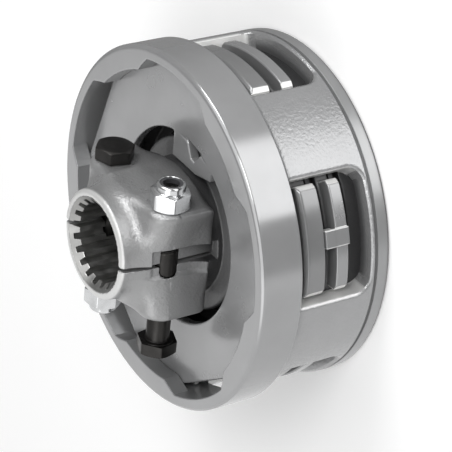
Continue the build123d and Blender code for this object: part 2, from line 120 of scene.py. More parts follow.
# Disc spring. A tab's points are depth inwards of the spring's hole and angle
SPRING_FRONT = LAND_REAR - 0.05
SPRING_THICK = 5.4
SPRING_RIM = RING_BORE - 0.6
SPRING_HOLE = 50.2
SPRING_FLAT = SPRING_RIM - 6.4
SPRING_SLOPE = 0.9 / (SPRING_RIM - SPRING_HOLE)
TAB = ((-2.0, 39.0), (4.7, 37.0), (12.7, 51.0), (14.4, 69.0), (13.2, 84.0), (-2.0, 80.0))
TAB_WINDOW = ((-0.8, 52.0), (7.7, 56.0), (7.7, 60.0), (-0.8, 67.0))
TAB_SPOTS = (38, 52, 57, 61, 69, 82)

# Plates
PLATE_R = DRUM_IN - 0.6
PLATE_BORE = 47.5
PLATE_FRONT = PLATE_REAR + 7.4
PRESSURE_FRONT = PRESSURE_REAR + 12.2
LUG_R = DRUM_R - 2.4
LUG_TURN = 18.7
LUG_STEP, LUG_RUN = 1.8, 3.1
FULCRUM_IN, FULCRUM_OUT, FULCRUM_TOP = 54.0, 60.0, 61.55
BAR_TURN = 2.9
BAR_OUT, BAR_TOP = LUG_R + 0.9, PLATE_REAR + 12.6

# Hub. A clamp block reaches from the axis along the slit to FOOT below, and to SEAT_REACH at its
# seat. A spot at a bolt's place is cut for the nut, and a flat pocket beside the bolt
HUB_ANGLE = math.radians(-19.2)
NOSE_R = 28.0
NOSE_BEVEL = 1.2
NOSE_FLAT = 25.8
SPLINE_IN, SPLINE_OUT = 20.1, 22.5
SPLINE_START = 24.0
SPLINE_TEETH = 20
TOOTH_PITCH = 360 / SPLINE_TEETH
SLEEVE_MEAN_R = 22.0
MOUTH_R = 24.1
BORE_R = 22.9
SLIT_HALF, SLIT_IN = 1.0, 18.0
SLIT_END = NOSE_TOP - 49.8
BOLT_OFFSET = 26.2
BOLT_Z = NOSE_TOP - 24.9
BOLT_HOLE = 6.4
BOLT_GAP_TURN = 28.7
BOSS_R = 12.3
SPOT_FACE_R = 11.2
SEAT = 30.0
SEAT_REACH = BOLT_OFFSET + BOSS_R - 0.7
FOOT = 33.0
FLAT_REACH = BOLT_OFFSET + 4.0
FLAT_HALF = 9.0
FLAT_END = BOLT_Z + 10.0
VALLEY = 12.0
SET_BACK_IN, SET_BACK_OUT = 5.0, 7.0
CLAMP_REAR = 69.05
SHOULDER_R, SHOULDER_END = 45.0, 60.87
NECK_R = 35.0
DRIVE_TEETH = 12
DRIVE_TOOTH_TURN = 7.0
DRIVE_R, DRIVE_ROOT = 44.0, 39.5
DRIVE_REAR, DRIVE_FRONT = 17.55, 39.5
JOURNAL_R, JOURNAL_FRONT, JOURNAL_REAR = 27.0, 17.5, 1.0

# The spline from the middle of a groove to the middle of a tooth: angle and share of the depth
GROOVE_HALF = ((0.0, 1.0), (2.2, 1.0), (3.5, 1.0), (3.75, 0.93), (4.2, 0.6), (4.7, 0.25),
               (5.0, 0.06), (5.3, 0.0), (6.6, 0.0), (TOOTH_PITCH / 2, 0.0))

# Bolts and nuts
BOLT_R = 6.0
HEX = 18.0
HEAD = 7.5
BOLT_LENGTH = 80.0
BOLT_OUT = 5.5
THREAD_PITCH = 1.75
THREAD_DEPTH = 0.95
THREAD_START = BOLT_LENGTH - 30.0
TIP_BEVEL = 1.1
BOLT_SIDES, NUT_SIDES = 120, 132
NUT_H = 13.0
NUT_HEX_H = 9.4
COLLAR_R, COLLAR_ROUND = 7.2, 1.3
INSERT_Z = 10.1
INSERT_TOP = INSERT_Z + 2.4

# The hub's own directions: along the slit, along the bolts, and along the shaft
E = np.array([math.cos(HUB_ANGLE), math.sin(HUB_ANGLE), 0.0])
S = np.array([-math.sin(HUB_ANGLE), math.cos(HUB_ANGLE), 0.0])
Z = np.array([0.0, 0.0, 1.0])

# Camera: its directions and place in metres, and its lens in pixels of the photograph
VIEW_RIGHT = (0.5391941481, -0.0892990084, -0.8374337931)
VIEW_DOWN = (0.1532159476, -0.9673674212, 0.2018047220)
VIEW_AHEAD = (-0.8281271304, -0.2371201373, -0.5079168204)
CAMERA_AT = (0.9220, 0.2575, 0.6026)
LENS_PIXELS, PHOTO_PIXELS = 2200, 452

# Studio: direction away from the light table, where its side ends, and the glow of both sides.
# A panel has its azimuth from and to, the softness of those two edges, its height from and to
# (degrees) and its brightness
TABLE_WAY = (0.1637, 0.9864, 0.0)
TABLE_EDGE = (-0.315, -0.255)
TABLE_GLOW = 0.84
ROOM_GLOW = 0.25
PANEL_SOFT = 4.0
PANELS = ((6.0, 55.5, 1.5, 4.0, -62.0, -2.0, 2.1),
          (-40.0, 115.0, 8.0, 35.0, -62.0, -2.0, 0.13),
          (55.0, 115.0, 5.0, 35.0, -62.0, -2.0, 0.22),
          (-72.0, 100.0, 12.0, 10.0, 38.0, 68.0, 1.2))
# A lamp has its name, place and width in metres, and power in watts
LAMPS = (("key", (0.95, 0.62, 0.85), 0.5, 5.5), ("top", (0.2, 1.3, 0.7), 0.6, 7.5))
LAMP_TARGET = np.array((0.0, 0.0, 0.05))
FLOOR_HALF = 6.0
FLOOR_WHITE, FLOOR_GREY = (1.07, 1.07, 1.07, 1), (0.6, 0.6, 0.6, 1)
WHITE = (1, 1, 1, 1)

# Near-black painted in for shade, bare machined steel under the paint, and the radius at which
# a hexagon's turned-down corners begin
PAINTED_SHADE_DARK, BARE_STEEL = (0.03, 0.03, 0.031), (0.86, 0.86, 0.85)
HEX_FACE_R = 8.5


# Shape tools. The fields below are signed distances in millimetres, negative inside

def smin(a, b, k):
    """Smaller of two distances, blended over a band of width k: this makes a fillet."""
    h = np.maximum(k - np.abs(a - b), 0.0) / k
    return np.minimum(a, b) - h * h * k / 4


def smax(a, b, k):
    """Larger of two distances, blended over a band of width k: this rounds an edge."""
    h = np.maximum(k - np.abs(a - b), 0.0) / k
    return np.maximum(a, b) + h * h * k / 4


def cut(body, tool, k):
    """Body less a tool, with the new edges blended over a band of width k."""
    return smax(body, -tool, k)


def slab(x, low, high):
    """Distance along one axis to the span from low to high."""
    return np.maximum(low - x, x - high)


def chamfer(a, b, size=0.0):
    """Distance to a 45 degree plane that takes a bevel off the corner where a and b are 0."""
    return (a + b + size) * 0.7071


def soft(x, low, high):
    """0 below low, 1 above high, smooth between."""
    t = np.clip((x - low) / (high - low), 0, 1)
    return t * t * (3 - 2 * t)


def folded(angle, middle=0.0, pitch=PITCH):
    """Angle from the nearest of the middles that repeat round the axis, as the windows' do."""
    return (angle - middle + pitch / 2) % pitch - pitch / 2


def both(*sizes):
    """Each size on both sides of the middle."""
    return [side * size for size in sizes for side in (-1, 1)]


def grid_lines(low, high, coarse, spots, fine=0.35, growth=0.35, near=0.7):
    """Grid lines from low to high: fine apart within near of each spot, coarse far from them.

    Between the two the steps lengthen by growth for each millimetre or degree."""
    x = np.linspace(low, high, 4001)
    away = np.min(np.abs(x[:, None] - np.asarray(spots, float)), axis=1)
    density = 1 / np.clip(fine + growth * np.maximum(away - near, 0), fine, coarse)
    total = np.concatenate([[0], np.cumsum(0.5 * (density[1:] + density[:-1]) * np.diff(x))])
    return np.interp(np.linspace(0, total[-1], int(total[-1]) + 2), total, x)


def turn_lines(coarse, spots, middle=0.0):
    """Angles round the axis, closer together at the spots: degrees to both sides of the middle
    of each window."""
    pitch = 360 / WINDOWS
    spots = [middle + s + pitch * k for k in range(-1, WINDOWS + 1) for s in both(*spots)]
    return np.radians(grid_lines(-36.0, 324.0, coarse, spots, 0.35, 0.25, 0.6)[:-1])


def round_xyz(p):
    """Radius, angle, height to x, y, z."""
    return np.stack([p[:, 0] * np.cos(p[:, 1]), p[:, 0] * np.sin(p[:, 1]), p[:, 2]], axis=1)


def xyz_round(p):
    """x, y, z to radius, angle, height."""
    return np.hypot(p[:, 0], p[:, 1]), np.arctan2(p[:, 1], p[:, 0]), p[:, 2]


def hub_xyz(p):
    """Slit way, bolt way, height to x, y, z."""
    return p[:, :1] * E + p[:, 1:2] * S + p[:, 2:] * Z


def xyz_hub(p):
    """x, y, z to slit way, bolt way, height."""
    return p @ E, p @ S, p[:, 2]


ROUND, ALONG_HUB = (round_xyz, xyz_round), (hub_xyz, xyz_hub)


def cell_points(f, lines, cell):
    """One point in each cell: the mean of the places where its edges cross the surface."""
    place = np.zeros((len(cell), 3))
    hits = np.zeros((len(cell), 1))
    unit = np.eye(3, dtype=int)
    for axis in range(3):
        one, other = np.delete(unit, axis, axis=0)
        for p, q in ((0, 0), (0, 1), (1, 0), (1, 1)):
            start = cell + p * one + q * other
            end = start + unit[axis]
            f0, f1 = f[tuple(start.T)], f[tuple(end.T)]
            crossed = (f0 < 0) != (f1 < 0)
            share = np.where(crossed, f0 / np.where(crossed, f0 - f1, 1), 0)[:, None]
            x0, x1 = (np.stack([line[at[:, n]] for n, line in enumerate(lines)], axis=1)
                      for at in (start, end))
            place += crossed[:, None] * (x0 + share * (x1 - x0))
            hits += crossed[:, None]
    return place / np.maximum(hits, 1)


def net_faces(inside, number, wrap):
    """Four-sided face round each grid edge that crosses the surface, turned outwards."""
    cells = np.array(number.shape)
    faces = []
    for axis in range(3):
        u, v = (axis + 1) % 3, (axis + 2) % 3
        low, high = (tuple(part if n == axis else slice(None) for n in range(3))
                     for part in (slice(0, -1), slice(1, None)))
        edge = np.argwhere(inside[low] != inside[high])
        out = inside[low][tuple(edge.T)]
        corners = []
        for du, dv in ((-1, -1), (0, -1), (0, 0), (-1, 0)):
            at = edge.copy()
            at[:, u] += du
            at[:, v] += dv
            if wrap:
                at[:, 1] %= cells[1]
            good = np.all((at >= 0) & (at < cells), axis=1)
            at = np.clip(at, 0, cells - 1)
            corners.append(np.where(good, number[tuple(at.T)], -1))
        quad = np.stack(corners, axis=1)
        keep = np.all(quad >= 0, axis=1)
        if wrap:
            keep &= edge[:, 1] < cells[1]
        quad, out = quad[keep], out[keep]
        quad[~out] = quad[~out][:, ::-1]
        faces.append(quad)
    return np.concatenate(faces)


def settle(points, value):
    """Moves points along the field's slope onto the surface. Gives them and their normals."""
    def slope(p, h):
        return np.stack([(value(p + d) - value(p - d)) / (2 * h) for d in np.eye(3) * h], axis=1)

    for _ in range(4):
        g = slope(points, 0.02)
        step = (value(points) / np.maximum(np.sum(g * g, axis=1), 0.05))[:, None] * g
        length = np.linalg.norm(step, axis=1, keepdims=True)
        points = points - step * np.minimum(1, 0.5 / np.maximum(length, 1e-9))
    g = slope(points, 0.05)
    return points, g / np.maximum(np.linalg.norm(g, axis=1, keepdims=True), 1e-9)


def surface_net(field, axes, ways):
    """Surface where a field is 0, found on a grid of three axes: points, faces and normals.

    Each grid cell whose corners lie on both sides of the surface gets one point, and the cells
    round each crossed grid edge are joined by a face. The ways change the axes to x, y, z and
    back. With round axes the second one is an angle that closes on itself."""
    to_xyz, from_xyz = ways
    wrap = ways is ROUND
    a, b, c = axes
    f = np.broadcast_to(field(a[:, None, None], b[None, :, None], c[None, None, :]),
                        (len(a), len(b), len(c))).astype(np.float32)
    if wrap:
        f = np.concatenate([f, f[:, :1]], axis=1)
        b = np.append(b, b[0] + 2 * math.pi)
    inside = f < 0
    na, nb, nc = (n - 1 for n in f.shape)
    count = sum(inside[i:i + na, j:j + nb, k:k + nc].astype(np.int8)
                for i in (0, 1) for j in (0, 1) for k in (0, 1))
    cell = np.argwhere((count > 0) & (count < 8))
    number = np.full(count.shape, -1, np.int32)
    number[tuple(cell.T)] = np.arange(len(cell))
    points, normals = settle(to_xyz(cell_points(f, (a, b, c), cell)),
                             lambda p: field(*from_xyz(p)))
    return points, net_faces(inside, number, wrap).tolist(), normals


def make_piece(name, points, faces, normals=None, marks=None, sharp=None):
    """Mesh object from arrays in millimetres, smooth but for edges over sharp degrees."""
    mesh = bpy.data.meshes.new(name)
    mesh.from_pydata((points.astype(np.float32) * MM).tolist(), [], faces)
    mesh.validate()
    mesh.shade_smooth()
    if normals is not None:
        mesh.normals_split_custom_set_from_vertices(normals.tolist())
    for key, values in (marks or {}).items():
        held = mesh.attributes.new(key, "FLOAT", "POINT")
        held.data.foreach_set("value", values.astype(np.float32))
    if sharp:
        mesh.set_sharp_from_angle(angle=math.radians(sharp))
    piece = bpy.data.objects.new(name, mesh)
    bpy.context.scene.collection.objects.link(piece)
    return piece


def finish_piece(piece, body, slot, material, *stands_for):
    """Gives a piece its material and body, and hides the CAD nodes that it stands for. The slot
    is not used.
    """
    piece.data.materials.append(material)
    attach(piece, body)
    if stands_for:
        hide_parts(*stands_for)


def net_piece(name, field, axes, marks, *where, ways=ROUND):
    """Builds one implicit piece, gives it its marks, body and material, and hides the nodes it
    stands for.
    """
    points, faces, normals = surface_net(field, axes, ways)
    points[:, 2] = np.clip(points[:, 2], 0.0, NOSE_TOP)
    marks = marks(points, normals) if marks else None
    finish_piece(make_piece(name, points, faces, normals, marks), *where)


def dress_nodes(names, material):
    """Gives a material to CAD nodes that are shown as they are."""
    for name in names:
        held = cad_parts[name].data.materials
        held.clear()
        held.append(material)


# Drum, ring, spring and plates, by radius r, angle t and height z

def drum_field(r, t, z):
    """Drum: rear wall and side wall of revolution, less five windows with round rear corners.

    A window is measured on the unrolled wall, and widens by its edge break near the outside."""
    sizes = bpy.context.scene.clutch_sizes
    cup = smax(smin(DRUM_IN - r, z - REAR_WALL, FLOOR_FILLET), BEARING_R - r, 0.6)
    wall = smax(smax(r - DRUM_R, -z, REAR_ROUND), z - RING_REAR, sizes.drum_round / MM)
    wall = smax(wall, cup, 0.6)
    neck = smax(slab(r, DRUM_IN, LIP_R), slab(z, NECK_REAR, LUG_TOP), 0.5)
    head = smax(slab(r, DRUM_IN, HEAD_R), slab(z, LUG_BASE, LUG_TOP), 0.5)
    body = np.minimum(np.minimum(wall, neck), head)
    body = cut(body, smax(r - FRONT_RECESS_R, FRONT_RECESS - z, 0.5), 0.5)
    body = cut(body, smax(r - REAR_RECESS_R, z - BUSH_REAR, 0.5), 0.6)
    body = cut(body, np.maximum(DRUM_R - GROOVE - r, np.abs(z - GROOVE_Z) - GROOVE), 0.2)
    body = smax(body, r - DRUM_R + RELIEF * soft(z, RELIEF_REAR, RELIEF_FRONT), 0.3)
    side = (np.abs(folded(t)) - math.radians(WINDOW_TURN)) * np.minimum(r, DRUM_R) + WINDOW_CORNER
    low = WINDOW_REAR - z + WINDOW_CORNER
    window = np.hypot(np.maximum(side, 0), np.maximum(low, 0)) - WINDOW_CORNER
    window = window + np.minimum(np.maximum(side, low), 0)
    window = window - np.maximum(r - DRUM_R + sizes.window_break / MM, 0)
    body = cut(body, np.maximum(window, DRUM_IN - 0.3 - r), 0.7)
    for i in range(FLANGE_HOLES):
        turn = math.radians((i + 0.5) * 360 / FLANGE_HOLES)
        away = r * r + FLANGE_CIRCLE ** 2 - 2 * r * FLANGE_CIRCLE * np.cos(t - turn)
        hole = np.sqrt(away) - FLANGE_HOLE_R - np.maximum(FLANGE_BEVEL - z, 0)
        body = cut(body, np.maximum(hole, z - FLANGE_HOLE_DEPTH), 0.3)
    return body


def ring_field(r, t, z):
    """Setting ring: a band whose front is stepped inwards at five lands, with five rear lugs."""
    sizes = bpy.context.scene.clutch_sizes
    turn = np.degrees(np.abs(folded(t, RING_SHIFT)))
    inner = RING_BORE - LAND_STEP * np.clip((turn - MOUTH_TURN) / SLANT_TURN, 0, 1)
    slanted = (turn > MOUTH_TURN - 1) & (turn < MOUTH_TURN + SLANT_TURN + 1)
    step = (inner - r) / np.where(slanted, math.hypot(1, LAND_STEP / SLANT_RUN), 1.0)
    body = smax(smax(r - RING_R, RING_BORE - r, 0.5), slab(z, RING_REAR, RING_TOP),
                sizes.ring_round / MM)
    land = smax(smax(r - RING_R + RING_SKIN, step, 0.6), slab(z, LAND_REAR, RING_TOP), 0.7)
    turn = np.degrees(np.abs(folded(t, RING_SHIFT + PITCH / 2)))
    lug = smax(smax(r - RING_R + RING_SKIN, RING_LUG_IN - r, 0.5),
               slab(z, RING_REAR, RING_LUG_FRONT), 0.5)
    lug = smax(lug, np.radians(turn - RING_LUG_TURN) * RING_LUG_R, 0.5)
    body = np.minimum(np.minimum(body, land), lug)
    return smax(body, chamfer(r - RING_R, z - RING_TOP, sizes.ring_edge / MM), 0.5)


def polygon_field(x, y, points):
    """Distance to a polygon: that of its nearest edge, negative inside the outline."""
    best = np.full(np.broadcast(x, y).shape, 1e9)
    odd = np.zeros(best.shape, bool)
    for (x0, y0), (x1, y1) in zip(points, points[1:] + points[:1]):
        dx, dy = x1 - x0, y1 - y0
        s = np.clip(((x - x0) * dx + (y - y0) * dy) / (dx * dx + dy * dy), 0, 1)
        best = np.minimum(best, np.hypot(x - x0 - s * dx, y - y0 - s * dy))
        if dy:
            odd ^= ((y0 > y) != (y1 > y)) & (x < x0 + (y - y0) * dx / dy)
    return np.where(odd, -best, best)


def tab_points(outline, turn):
    """x and y of a tab's outline points."""
    return [((SPRING_HOLE - depth) * math.cos(math.radians(angle + turn)),
             (SPRING_HOLE - depth) * math.sin(math.radians(angle + turn)))
            for depth, angle in outline]


def spring_field(r, t, z):
    """Disc spring: shallow cone, a round rim cut by five flats, and two inner tabs with holes."""
    x, y = r * np.cos(t), r * np.sin(t)
    outline = smax(r - SPRING_RIM, r * np.cos(folded(t, RING_SHIFT)) - SPRING_FLAT, 3.0)
    outline = smax(outline, SPRING_HOLE - r, 0.5)
    for turn in (0, 180):
        tab = polygon_field(x, y, tab_points(TAB, turn)) - 0.3
        hole = polygon_field(x, y, tab_points(TAB_WINDOW, turn))
        outline = cut(smin(outline, tab, 1.5), hole, 0.8)
    middle = SPRING_FRONT - SPRING_THICK / 2
    middle = middle - SPRING_SLOPE * (SPRING_RIM - np.clip(r, 30, None))
    return smax(outline, np.abs(z - middle) - SPRING_THICK / 2, 1.1)


def lugged_field(r, t, z, rear, front, bevel, set_back):
    """Plate with a lug in each window: full height in the middle, sloping down at both ends."""
    disc = smax(slab(r, PLATE_BORE, PLATE_R), slab(z, rear, front), 1.0)
    end = (np.abs(folded(t)) - math.radians(LUG_TURN)) * r
    slope = ((r - LUG_R + LUG_STEP) * LUG_RUN + end * LUG_STEP) / math.hypot(LUG_RUN, LUG_STEP)
    lug = smax(smax(smax(r - LUG_R, slope, 0.4), end, 0.6), PLATE_R - 1.2 - r, 0.3)
    lug = smax(lug, slab(z, rear - 0.6, front - set_back), 0.8)
    lug = smax(lug, chamfer(r - LUG_R, z - front + set_back, bevel), 0.6)
    return smin(disc, lug, 1.0)


def pressure_field(r, t, z):
    """Pressure plate: lugged plate and the raised ring that the spring presses on."""
    body = lugged_field(r, t, z, PRESSURE_REAR, PRESSURE_FRONT, 2.0, 1.6)
    rim = smax(slab(r, FULCRUM_IN, FULCRUM_OUT), slab(z, PRESSURE_REAR + 6, FULCRUM_TOP), 1.6)
    return smin(body, rim, 1.5)


def intermediate_field(r, t, z):
    """Intermediate plate, with the hooked bar on the lug of the first window."""
    body = lugged_field(r, t, z, PLATE_REAR, PLATE_FRONT, 0.3, 1.2)
    side = (np.abs(folded(t, pitch=2 * math.pi)) - math.radians(BAR_TURN)) * r
    bar = smax(slab(r, LUG_R - 0.9, BAR_OUT), slab(z, PLATE_REAR - 1.0, BAR_TOP), 0.6)
    hook = smax(slab(r, LUG_R - 5.0, BAR_OUT), slab(z, PLATE_FRONT - 0.5, BAR_TOP), 0.8)
    return smin(body, smin(smax(bar, side, 0.6), smax(hook, side, 0.6), 0.6), 0.4)


# Hub, by e along its slit, s along its bolts and height z

def shaft_field(r, e, s, z):
    """Turned part of the hub: nose with two flats, neck, shoulder, drive teeth and journal."""
    nose = smax(r - NOSE_R, z - NOSE_TOP, 0.1)
    nose = smax(nose, chamfer(r - NOSE_R, z - NOSE_TOP, NOSE_BEVEL), 0.8)
    flat = smin(np.abs(e) - NOSE_FLAT, BOLT_Z + BOSS_R + 0.3 - z, 0.6)
    nose = smax(nose, flat, 0.8)
    nose = smin(nose, smax(r - NECK_R, chamfer(r - NECK_R, z - CLAMP_REAR), 0.5), 3.0)
    shoulder = smax(r - SHOULDER_R, slab(z, DRIVE_FRONT, SHOULDER_END), 3.0)
    edge = smax(r - SHOULDER_R, slab(z, DRIVE_FRONT, 50.0), 0.3)
    shoulder = smin(shoulder, edge, 0.1)
    teeth = smax(r - DRIVE_R, slab(z, DRIVE_REAR, DRIVE_FRONT), 0.6)
    lobe = np.abs(folded(np.arctan2(s, e), -HUB_ANGLE, 2 * math.pi / DRIVE_TEETH))
    lobe = (lobe - math.radians(DRIVE_TOOTH_TURN)) * r
    teeth = smax(teeth, np.minimum(r - DRIVE_ROOT, lobe), 0.4)
    shaft = smin(nose, shoulder, 0.9)
    shaft = smax(shaft, np.where(z < JOURNAL_FRONT, r - JOURNAL_R, -50.0), 0.4)
    return smin(shaft, teeth, 0.5)


def block_field(e, s, z):
    """Clamp blocks: they taper towards the slit and end in an oval about each bolt.

    Their seats have a valley between them, and opposite each pocket the foot is set back."""
    ae, as_ = np.abs(e), np.abs(s)
    seat = as_ - (NOSE_R + (SEAT - NOSE_R) * np.minimum(ae / VALLEY, 1) ** 2)
    draft = (SEAT_REACH - FOOT) / (SEAT - FLAT_HALF)
    other = soft(-s * np.sign(e), -0.3, 0.3)
    set_back = np.clip((SET_BACK_OUT - as_) / (SET_BACK_OUT - SET_BACK_IN), 0, 1)
    set_back = other * (FOOT - FLAT_REACH - 0.2) * set_back
    side = FOOT + draft * np.maximum(as_ - FLAT_HALF, 0) - set_back
    half = np.clip(side - BOLT_OFFSET, 3.0, BOSS_R)
    oval = BOSS_R / half
    tip = np.hypot(np.maximum(ae - BOLT_OFFSET, 0) * oval, z - BOLT_Z) - BOSS_R
    rear = (ae - (BOLT_OFFSET + half)) / math.sqrt(1 + draft * draft)
    flank = np.where(z > BOLT_Z, tip / np.sqrt(oval), rear)
    seat_round = bpy.context.scene.clutch_sizes.seat_round / MM
    return smax(smax(flank, CLAMP_REAR - z, 2.5), seat, seat_round)


def hub_field(e, s, z):
    """Hub without its splined sleeve: shaft and clamp blocks joined by a fillet, less the neck's
    gap, the spot faces, a pocket beside each bolt, slit, bolt holes and bore."""
    r = np.hypot(e, s)
    ae, as_ = np.abs(e), np.abs(s)
    to_bolt = np.hypot(ae - BOLT_OFFSET, z - BOLT_Z)
    fillet = bpy.context.scene.clutch_sizes.block_fillet / MM
    body = smin(shaft_field(r, e, s, z), block_field(e, s, z), fillet)
    body = cut(body, smax(NECK_R - r, slab(z, SHOULDER_END, CLAMP_REAR), 1.0), 0.3)
    body = cut(body, np.maximum(to_bolt - SPOT_FACE_R, SEAT - as_), 0.1)
    pocket = smax(FLAT_REACH - ae, slab(s * np.sign(e), 0.0, FLAT_HALF), 0.8)
    body = cut(body, smax(pocket, slab(z, SLIT_END, FLAT_END), 0.8), 0.8)
    slit = np.maximum(np.maximum(as_ - SLIT_HALF, SLIT_IN - ae), SLIT_END - z)
    body = cut(body, slit, 0.35)
    body = cut(body, to_bolt - BOLT_HOLE - np.maximum(as_ - SEAT + 1.0, 0) * 0.6, 0.2)
    body = cut(body, r - np.where(z > SPLINE_START, MOUTH_R + 0.02, BORE_R), 0.25)
    return smax(body, JOURNAL_REAR - z, 0.8)


def grid_faces(across, along, wrap_across, wrap_along):
    """Four-sided faces of a grid of points that may close on itself either way."""
    i, j = np.meshgrid(np.arange(across - (not wrap_across)),
                       np.arange(along - (not wrap_along)), indexing="ij")
    n, m = (i + 1) % across, (j + 1) % along
    return np.stack([i * along + j, n * along + j, n * along + m, i * along + m],
                    axis=2).reshape(-1, 4)


def with_caps(faces, first, last):
    """Faces with one many-sided face at each end."""
    return faces.tolist() + [tuple(first), tuple(last)]


def spline_sleeve(side):
    """Half of the toothed sleeve inside the hub, from one slit wall to the other.

    Across: a rounded trapezoid wave of grooves between tip and root radius. Along: up the bore,
    out along the mouth's bevel, and back down the outside. It is four blocks on top of each
    other: whole below the slit, slit, cut away for the bolts, and slit."""
    half = np.array(GROOVE_HALF)
    groove = np.concatenate([half, [[TOOTH_PITCH, 0]] + half[-2:0:-1] * [-1, 1]])
    angle = (groove[:, 0] + TOOTH_PITCH * np.arange(SPLINE_TEETH)[:, None]).ravel()
    depth = np.tile(groove[:, 1], SPLINE_TEETH)
    slit = math.degrees(SLIT_HALF / SLEEVE_MEAN_R)
    low_hole, high_hole = BOLT_Z - BOLT_HOLE, BOLT_Z + BOLT_HOLE
    mouth = np.concatenate([np.linspace(high_hole, NOSE_TOP - 4.6, 5),
                            np.linspace(NOSE_TOP - 4.3, NOSE_TOP - 1.3, 16),
                            [NOSE_TOP - 0.7, NOSE_TOP - 0.15]])
    points, faces = np.empty((0, 3)), []
    for gap, z in ((0.0, np.linspace(SPLINE_START, SLIT_END, 9)),
                   (slit, np.linspace(SLIT_END, low_hole, 6)),
                   (BOLT_GAP_TURN, np.linspace(low_hole, high_hole, 5)), (slit, mouth)):
        low = gap if side > 0 else 180 + gap
        made, shapes = sleeve_block(angle, depth, low, low + 180 - 2 * gap, z)
        faces += [[n + len(points) for n in face] for face in shapes]
        points = np.append(points, made, axis=0)
    return points, faces


def sleeve_block(angle, depth, low, high, z):
    """Part of the sleeve between two angles, at the heights z, closed by a cap at each end."""
    inside = (angle > low + 0.2) & (angle < high - 0.2)
    ends = np.interp([low, high], np.append(angle, angle[0] + 360), np.append(depth, depth[0]))
    angle = np.concatenate([[low], angle[inside], [high]])
    depth = np.concatenate([[ends[0]], depth[inside], [ends[1]]])
    root = SPLINE_IN + (SPLINE_OUT - SPLINE_IN) * depth
    bevel = MOUTH_R - np.maximum(NOSE_TOP - z, 0)
    radius = np.maximum(root[:, None], bevel[None, :])
    radius = np.concatenate([radius, np.full((len(angle), 2), MOUTH_R)], axis=1)
    height = np.broadcast_to(np.append(z, [z[-1], z[0]]), radius.shape)
    turn = np.radians(angle)[:, None] + HUB_ANGLE
    points = np.stack([radius * np.cos(turn), radius * np.sin(turn), height], axis=2)
    rows, cols = radius.shape
    faces = grid_faces(rows, cols, False, True)[:, [0, 3, 2, 1]]
    return points.reshape(-1, 3), with_caps(faces, range(cols - 1, -1, -1),
                                            range((rows - 1) * cols, rows * cols))


# Bolts and nuts

def turn_angles(sides):
    """Angles of the points round a turned piece."""
    return np.linspace(0, 2 * math.pi, sides, endpoint=False)


def lathe(rows, sides, origin, axis, start):
    """Points round an axis from rows of radius and height. A radius is one, or one per angle."""
    radius = np.stack([np.broadcast_to(r, sides) for r, _ in rows], axis=1)
    height = np.array([h for _, h in rows])
    angle = turn_angles(sides)[:, None]
    way = np.cos(angle) * start + np.sin(angle) * np.cross(axis, start)
    points = origin + radius[..., None] * way[:, None] + height[:, None] * axis
    return points.reshape(-1, 3)


def hexagon(angle, turn):
    """Radius of a hexagon with slightly rounded corners at each angle."""
    away = np.abs(folded(angle, turn, math.pi / 3))
    return smin(HEX / 2 / np.cos(math.pi / 6 - away), HEX / math.sqrt(3) - 0.12, 0.3)


def thread_wave(angle, z):
    """Share of a sixty degree thread's depth below its crest: a triangle wave along the helix."""
    phase = (z / THREAD_PITCH - angle / (2 * math.pi)) % 1.0
    return np.clip(np.abs(phase - 0.5) * 2 * 1.25 - 0.125, 0, 1)


def bolt_surface(origin, axis, turn):
    """Bolt as one closed surface: domed hexagon head, washer face, plain shank, helical thread.

    Heights run from the head's seat. The rows of the head follow its turned-down corners."""
    angle = turn_angles(BOLT_SIDES)
    hexes = hexagon(angle, turn)
    shank = BOLT_R - 0.05
    rows = [(0.01, -HEAD), (4.5, -HEAD), (6.2, -HEAD), (8.0, 0.05 - HEAD), (8.45, 0.16 - HEAD)]
    for h in (*np.linspace(0.18, 1.35, 12), *np.linspace(1.6, HEAD - 1.2, 6),
              HEAD - 0.62, HEAD - 0.5):
        cone = HEX_FACE_R + (h - 0.16) * math.tan(math.radians(62))
        rows.append((np.minimum(hexes, cone), h - HEAD))
    rows += [(np.minimum(hexes, 8.7) - 0.05, -0.44), (8.3, -0.40), (8.2, -0.02),
             (BOLT_R + 0.5, 0.0), (BOLT_R + 0.1, 0.25), (shank, 0.7),
             (shank, THREAD_START - 1.2), (BOLT_R - 0.06, THREAD_START - 0.1)]
    for h in np.arange(THREAD_START, BOLT_LENGTH - 0.05, THREAD_PITCH / 10):
        depth = THREAD_DEPTH * min(1.0, (h - THREAD_START) / 1.5)
        tip = shank - max(0.0, h - BOLT_LENGTH + TIP_BEVEL)
        rows.append((np.minimum(shank - depth * thread_wave(angle, h), tip), h))
    rows += [(4.7, BOLT_LENGTH), (0.01, BOLT_LENGTH)]
    faces = grid_faces(BOLT_SIDES, len(rows), True, False)
    ends = range((BOLT_SIDES - 1) * len(rows), -1, -len(rows))
    return lathe(rows, BOLT_SIDES, origin, axis, Z), with_caps(
        faces, ends, range(len(rows) - 1, BOLT_SIDES * len(rows), len(rows)))


